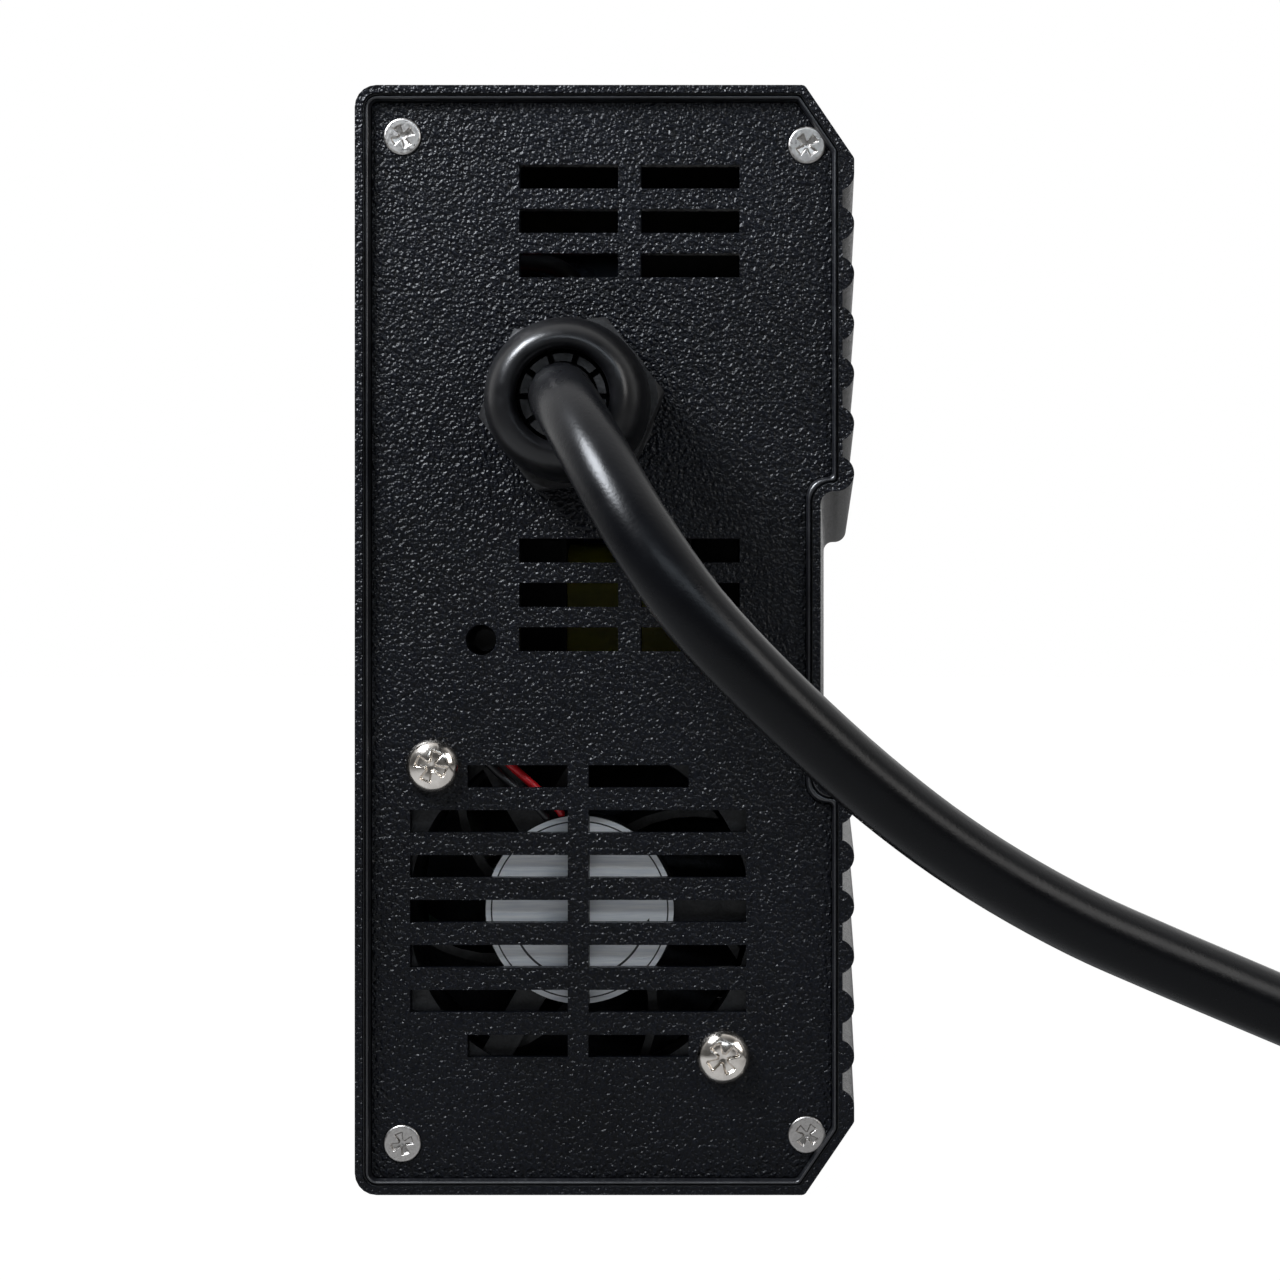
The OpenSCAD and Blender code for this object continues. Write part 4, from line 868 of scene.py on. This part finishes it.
def case_outline(inward, ribbed):
    """The case's section moved inwards, by another amount along the ribbed side."""
    left, right, deep = -HALF_W + inward, RIB_FOOT_X - ribbed, RECESS_X - inward
    across, up = Vector((CHAMFER[1], CHAMFER[0])).normalized()
    reach = across * (HALF_W - CHAMFER[0]) + up * CASE_H - inward
    slope_z = (reach - across * right) / up
    slope_x = (reach - up * (CASE_H - inward)) / across
    shoulder = HALF_RECESS + inward
    fillet = min(RECESS_FILLET + inward, right - deep - RECESS_STRAIGHT)
    corner = max(CORNER_ROUND - inward, LEAST_ROUND)
    lower = [
        (left, inward, corner),
        (slope_x, inward, CHAMFER_ROUNDS[0]),
        (right, CASE_H - slope_z, CHAMFER_ROUNDS[1]),
        (right, MIDDLE_Z - shoulder, SHOULDER_ROUND),
        (deep, MIDDLE_Z - shoulder, fillet),
    ]
    upper = [(x, CASE_H - z, radius) for x, z, radius in reversed(lower)]
    return filleted(lower + upper)


def bead_frame(node, end):
    """A trim frame with a rounded bead between a narrow groove and the end panel."""
    bead = []
    for k in range(BEAD_STEPS + 1):
        angle = math.pi * (1 - k / BEAD_STEPS)
        across, up = BEAD_REACH[0] * math.cos(angle), BEAD_REACH[1] * math.sin(angle)
        bead.append((BEAD_MIDDLE[0] + across, BEAD_MIDDLE[1] - up))
    bm = bmesh.new()
    loops = []
    for share, depth in (*GROOVE, *bead, *LIP):
        inward = share * TRIM_WIDTH
        loop = []
        for point in case_outline(TRIM_OUTSIDE[0] + inward, TRIM_OUTSIDE[1] + inward):
            for port in END_SCREWS:
                off = point - Vector(port)
                if off.length < HEAD_ROOM:
                    point = Vector(port) + off.normalized() * HEAD_ROOM
            loop.append(bm.verts.new((point.x * MM, end * (RIM_Y - depth) * MM, point.y * MM)))
        loops.append(loop)
    count = len(loops[0])
    for near, far in zip(loops, loops[1:] + loops[:1]):
        for k in range(count):
            m = (k + 1) % count
            bm.faces.new((near[k], near[m], far[m], far[k]))
    mesh = meshed(f"{node}_bead", bm)
    smoothed(mesh, 50)
    return added(f"{node}_bead", mesh, SLOT_OF[node], body_of(node), node)


# Operators


class CHARGER_OT_finishes(Operator):
    """Make every finish and give each part of the charger its own."""

    bl_idname = "charger.finishes"
    bl_label = "Finishes"

    def execute(self, context):
        make_finishes(context.scene.charger_finishes)
        for name, part in NODES.items():
            part.data.materials.clear()
            part.data.materials.append(finish_of(SLOT_OF[name]))
        return {"FINISHED"}


class CHARGER_OT_camera(Operator):
    """Set the camera in front of the cable end."""

    bl_idname = "charger.camera"
    bl_label = "Camera"

    def execute(self, context):
        studio = context.scene.charger_studio
        camera = bpy.data.cameras.new("camera")
        camera.lens = studio.lens
        camera.sensor_width = 36
        camera.shift_x = studio.shift
        camera.clip_start = 0.01
        holder = bpy.data.objects.new("camera", camera)
        context.scene.collection.objects.link(holder)
        holder.location = studio.camera_at
        holder.rotation_euler = (math.pi / 2, 0, 0)
        context.scene.camera = holder
        return {"FINISHED"}


class CHARGER_OT_output_lead(Operator):
    """Lay the output lead from the gland to its coil and on to its connector."""

    bl_idname = "charger.output_lead"
    bl_label = "Output lead"

    def execute(self, context):
        sizes = context.scene.charger_lead
        coil = [coil_point(turn, sizes) for turn in range(0, COIL_END + 1, COIL_STEP)]
        line = through_points((*LEAD_ROUTE, *coil, *LEAD_TAIL), LEAD_STEP)
        lead = drawn_tube("output_lead_line", line, sizes.radius, sizes.sides, "lead_jacket")
        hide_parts("output_lead", "lead_coil", "lead_tail")
        strap_around(sizes)
        softened("connector_housing", 0.00035)
        softened("connector_boot", 0.00025)
        inner = [Vector(LEAD_START), Vector((LEAD_START[0], LEAD_INNER_Y, LEAD_START[2]))]
        drawn_tube("lead_inner_end", inner, sizes.radius, sizes.sides, "lead_jacket")
        print(f"lead {length_of(line):.3f} m")
        return {"FINISHED"}


def strap_around(sizes):
    """The strap that holds the three lanes of the coil together."""
    lanes = [
        Vector((sizes.coil_radius - sizes.radius, COIL_LOW)),
        Vector((sizes.coil_radius + sizes.radius, COIL_LOW)),
        Vector((sizes.coil_radius, COIL_LOW + sizes.radius * math.sqrt(3))),
    ]

    def outline(reach):
        points = []
        for lane, (start, end) in zip(lanes, TIE_ARCS):
            for k in range(TIE_ARC_STEPS + 1):
                angle = math.radians(start + (end - start) * k / TIE_ARC_STEPS)
                points.append(lane + reach * Vector((math.cos(angle), math.sin(angle))))
        return points

    inner, outer = outline(sizes.radius + TIE_INSIDE), outline(sizes.radius + TIE_OUTSIDE)
    bm = bmesh.new()
    slices = []
    for k in range(TIE_STEPS + 1):
        angle = math.radians(TIE_FROM + TIE_SPAN * k / TIE_STEPS)
        edge = TIE_EDGE if k in (0, TIE_STEPS) else 0.0
        ring = []
        for shift, points in ((edge, inner), (-edge, outer)):
            middle = sum(points, Vector((0, 0))) / len(points)
            for point in points:
                spread = point + (point - middle).normalized() * shift
                ring.append(bm.verts.new((
                    COIL_CENTRE[0] + spread.x * math.cos(angle),
                    COIL_CENTRE[1] + spread.x * math.sin(angle),
                    spread.y,
                )))
        slices.append(ring)
    count = len(inner)
    for near, far in zip(slices, slices[1:]):
        for k in range(count):
            m = (k + 1) % count
            bm.faces.new((near[k], near[m], far[m], far[k]))
            bm.faces.new((near[count + k], far[count + k], far[count + m], near[count + m]))
    for ring in (slices[0], slices[-1]):
        for k in range(count):
            m = (k + 1) % count
            bm.faces.new((ring[k], ring[count + k], ring[count + m], ring[m]))
    mesh = meshed("coil_strap", bm)
    smoothed(mesh, 50)
    return added("coil_strap", mesh, "strap", "case", "coil_tie")


class CHARGER_OT_case(Operator):
    """Round the edges of the case, its trims and its end panels."""

    bl_idname = "charger.case"
    bl_label = "Case"

    def execute(self, context):
        softened("case_shell", 0.00018)
        for node in ("front_panel", "rear_panel"):
            softened(node, 0.0002, 3)
        bead_frame("front_trim", -1)
        bead_frame("rear_trim", 1)
        return {"FINISHED"}


class CHARGER_OT_gland(Operator):
    """Shape the cable gland's nut and round its hexagon."""

    bl_idname = "charger.gland"
    bl_label = "Cable gland"

    def execute(self, context):
        outline = [*NUT_FOOT]
        for k in range(DOME_STEPS + 1):
            angle = math.pi / 2 * k / DOME_STEPS
            out, up = DOME_REACH[0] * math.cos(angle), DOME_REACH[1] * math.sin(angle)
            outline.append((DOME_MIDDLE[0] + out, DOME_MIDDLE[1] + up))
        for k in range(1, MOUTH_STEPS + 1):
            angle = math.pi / 2 * (1 - k / MOUTH_STEPS)
            out, up = MOUTH_ROUND * math.cos(angle), MOUTH_ROUND * math.sin(angle)
            outline.append((MOUTH_MIDDLE[0] - out, MOUTH_MIDDLE[1] + up))
        outline += NUT_BORE
        turned("gland_nut", outline, GLAND_CENTRE, FRONT_Y, "gland_gloss", NUT_SIDES, "gland_dome_nut")
        softened("gland_body", 0.00012)
        softened("gland_lock_nut", 0.0002)
        return {"FINISHED"}


class CHARGER_OT_screws(Operator):
    """Cut the screws with their cross recesses."""

    bl_idname = "charger.screws"
    bl_label = "Screws"

    def execute(self, context):
        shank = (1.45, 11.5)
        screws(
            "front_end_screws", END_SCREWS, FRONT_Y, -1, (20, 52, 38, 28), FLAT_HEAD, SMALL_CROSS,
            shank, "satin_nickel", "front_panel_screws",
        )
        screws(
            "rear_end_screws", END_SCREWS, REAR_Y, 1, (12, 64, 33, 80), FLAT_HEAD, SMALL_CROSS,
            shank, "satin_nickel", "rear_panel_screws",
        )
        screws(
            "fan_pan_screws", FAN_SCREWS, FRONT_Y, -1, (67, 30), PAN_HEAD, LARGE_CROSS,
            (1.95, 16.0), "bright_nickel", "fan_screws",
        )
        screws(
            "inlet_cross_screws", INLET_SCREWS, RIM_Y, 1, (40, 75), FLAT_HEAD, SMALL_CROSS,
            (1.45, 8.0), "satin_nickel", "inlet_screws",
        )
        return {"FINISHED"}


class CHARGER_OT_fan(Operator):
    """Dress the fan: its frame, hub film with a turning arrow, blades and wires."""

    bl_idname = "charger.fan"
    bl_label = "Fan"

    def execute(self, context):
        softened("fan_frame", 0.0002)
        softened("fan_impeller", 0.00008, 1, 35)
        for node in ("fan_wire_red", "fan_wire_black"):
            rounded_off(node)
        face = PANEL_BACK_Y + PRINT_GAP
        ring_sheet("hub_print_ring", RING_RADII, (0, 360), face, "black_sleeve")
        ring_sheet("hub_print_arc", ARC_RADII, ARC_SPAN, face, "black_sleeve")
        arrow = bmesh.new()
        radius, angle = ARROW_AT[0], math.radians(ARROW_AT[1])
        along = Vector((-math.sin(angle), math.cos(angle)))
        out = Vector((math.cos(angle), math.sin(angle)))
        foot = Vector(FAN_CENTRE) + radius * out
        length, half = ARROW_SIZE
        for corner in (foot + along * length, foot + out * half, foot - out * half):
            arrow.verts.new((corner.x * MM, face * MM, corner.y * MM))
        arrow.faces.new(arrow.verts)
        added("hub_print_head", meshed("hub_print_head", arrow), "black_sleeve")
        return {"FINISHED"}


class CHARGER_OT_inside(Operator):
    """Smooth the wires and round the parts that the vents show."""

    bl_idname = "charger.inside"
    bl_label = "Inside parts"

    def execute(self, context):
        for node in ("output_wire_red", "output_wire_black", "live_wire", "neutral_wire", "earth_wire"):
            rounded_off(node)
        softened("transformer_winding", 0.0005)
        softened("transformer_core", 0.0004)
        softened("mains_inlet", 0.0002)
        softened("inlet_pins", 0.0004)
        for name in ("mains_capacitors", "output_capacitors", "filter_capacitor", "filter_choke"):
            softened(name, 0.0003)
        return {"FINISHED"}


class CHARGER_OT_stage(Operator):
    """Set the floor, the even light and the lamps."""

    bl_idname = "charger.stage"
    bl_label = "Stage"

    def execute(self, context):
        studio = context.scene.charger_studio
        white_floor()
        white_world(context.scene, studio.sky)
        context.scene.view_settings.view_transform = "Standard"
        lamp(
            "key", (-0.15, -0.22, 0.28), (0.0, -0.1, 0.09), (0.09, 0.09), studio.key_power,
            (0.90, 0.94, 1.0),
        )
        lamp(
            "side", (0.38, -0.36, 0.26), (0.03, -0.1, 0.08), (0.16, 0.24), studio.side_power,
            (1.0, 0.98, 0.96),
        )
        lamp(
            "long", (0.14, -0.48, 0.30), (0.08, -0.14, 0.05), (0.5, 0.05), studio.long_power,
            (0.80, 0.90, 1.0),
        )
        return {"FINISHED"}


def background_rays(tree, mirrored=1.0):
    """Camera rays, and a share of glossy and transmission rays, which see the plain white."""
    rays = tree.nodes.new("ShaderNodeLightPath")
    bent = maths(tree, "MAXIMUM", rays.outputs["Is Glossy Ray"], rays.outputs["Is Transmission Ray"])
    return maths(tree, "MAXIMUM", rays.outputs["Is Camera Ray"], maths(tree, "MULTIPLY", bent, mirrored))


def white_floor():
    """A wide pale floor that keeps a faint shadow."""
    bm = bmesh.new()
    bmesh.ops.create_grid(bm, x_segments=2, y_segments=2, size=FLOOR_HALF)
    mesh = meshed("floor", bm)
    floor = bpy.data.objects.new("floor", mesh)
    bpy.context.scene.collection.objects.link(floor)
    tree, shader = started("floor_paper", FLOOR_COLOUR, FLOOR_ROUGHNESS)
    shine = placed(tree, "ShaderNodeEmission", Color=(1, 1, 1, 1), Strength=FLOOR_STRENGTH)
    seen = maths(tree, "MULTIPLY", background_rays(tree, FLOOR_GLOW), FLOOR_CLEAR)
    mix = placed(tree, "ShaderNodeMixShader", i0=seen, i1=shader.outputs[0], i2=shine.outputs[0])
    tree.links.new(mix.outputs[0], tree.nodes["Material Output"].inputs["Surface"])
    mesh.materials.append(finish_of("floor_paper"))


def white_world(scene, strength):
    """Even light, with white behind the charger."""
    world = bpy.data.worlds.new("studio")
    scene.world = world
    world.use_nodes = True
    tree = world.node_tree
    even = tree.nodes["Background"]
    even.inputs["Color"].default_value = (0.95, 0.97, 1.0, 1)
    even.inputs["Strength"].default_value = strength
    place = tree.nodes.new("ShaderNodeTexCoord").outputs["Generated"]
    way = placed(tree, "ShaderNodeSeparateXYZ", Vector=place)
    behind = maths(tree, "MULTIPLY", way.outputs["Y"], WHITE_BACK)
    lift = maths(tree, "ADD", maths(tree, "MULTIPLY", way.outputs["Z"], WHITE_UP), behind)
    soft = placed(
        tree, "ShaderNodeMapRange", {"interpolation_type": "SMOOTHSTEP"}, Value=lift,
        From_Min=WHITE_FADE[0], From_Max=WHITE_FADE[1], To_Min=FRONT_GLOW, To_Max=1.0,
    )
    seen = tree.nodes.new("ShaderNodeLightPath").outputs["Is Camera Ray"]
    glow = maths(tree, "MAXIMUM", soft.outputs["Result"], seen)
    white = placed(tree, "ShaderNodeBackground", Color=(1, 1, 1, 1), Strength=glow)
    mix = placed(
        tree, "ShaderNodeMixShader", i0=background_rays(tree), i1=even.outputs[0], i2=white.outputs[0]
    )
    tree.links.new(mix.outputs[0], tree.nodes["World Output"].inputs["Surface"])


def lamp(name, place, target, size, power, colour):
    """A rectangular lamp that points at a target."""
    light = bpy.data.lights.new(name, "AREA")
    light.shape = "RECTANGLE"
    light.size, light.size_y = size
    light.energy = power
    light.color = colour
    holder = bpy.data.objects.new(name, light)
    bpy.context.scene.collection.objects.link(holder)
    holder.location = place
    holder.rotation_euler = (Vector(target) - Vector(place)).to_track_quat("-Z", "Y").to_euler()


class CHARGER_PT_sidebar(Panel):
    """Lists the charger's steps and sizes."""

    bl_idname = "CHARGER_PT_sidebar"
    bl_label = "Charger"
    bl_space_type = "VIEW_3D"
    bl_region_type = "UI"
    bl_category = "Charger"

    def draw(self, context):
        for step in STEPS:
            self.layout.operator(step.bl_idname)
        for settings in ("charger_finishes", "charger_lead", "charger_studio"):
            group = getattr(context.scene, settings)
            for key in group.bl_rna.properties.keys():
                if key not in {"rna_type", "name"}:
                    self.layout.prop(group, key)


STEPS = (
    CHARGER_OT_finishes,
    CHARGER_OT_camera,
    CHARGER_OT_output_lead,
    CHARGER_OT_case,
    CHARGER_OT_gland,
    CHARGER_OT_screws,
    CHARGER_OT_fan,
    CHARGER_OT_inside,
    CHARGER_OT_stage,
)
SETTINGS = {
    "charger_finishes": ChargerFinishes,
    "charger_lead": LeadSizes,
    "charger_studio": StudioSettings,
}


def register():
    for kind in (*SETTINGS.values(), *STEPS, CHARGER_PT_sidebar):
        bpy.utils.register_class(kind)
    for name, kind in SETTINGS.items():
        setattr(bpy.types.Scene, name, PointerProperty(type=kind))


def unregister():
    for name in SETTINGS:
        delattr(bpy.types.Scene, name)
    for kind in reversed((*SETTINGS.values(), *STEPS, CHARGER_PT_sidebar)):
        bpy.utils.unregister_class(kind)


def main():
    register()
    for step in STEPS:
        getattr(bpy.ops.charger, step.bl_idname.split(".")[1])()


if __name__ == "__main__":
    main()
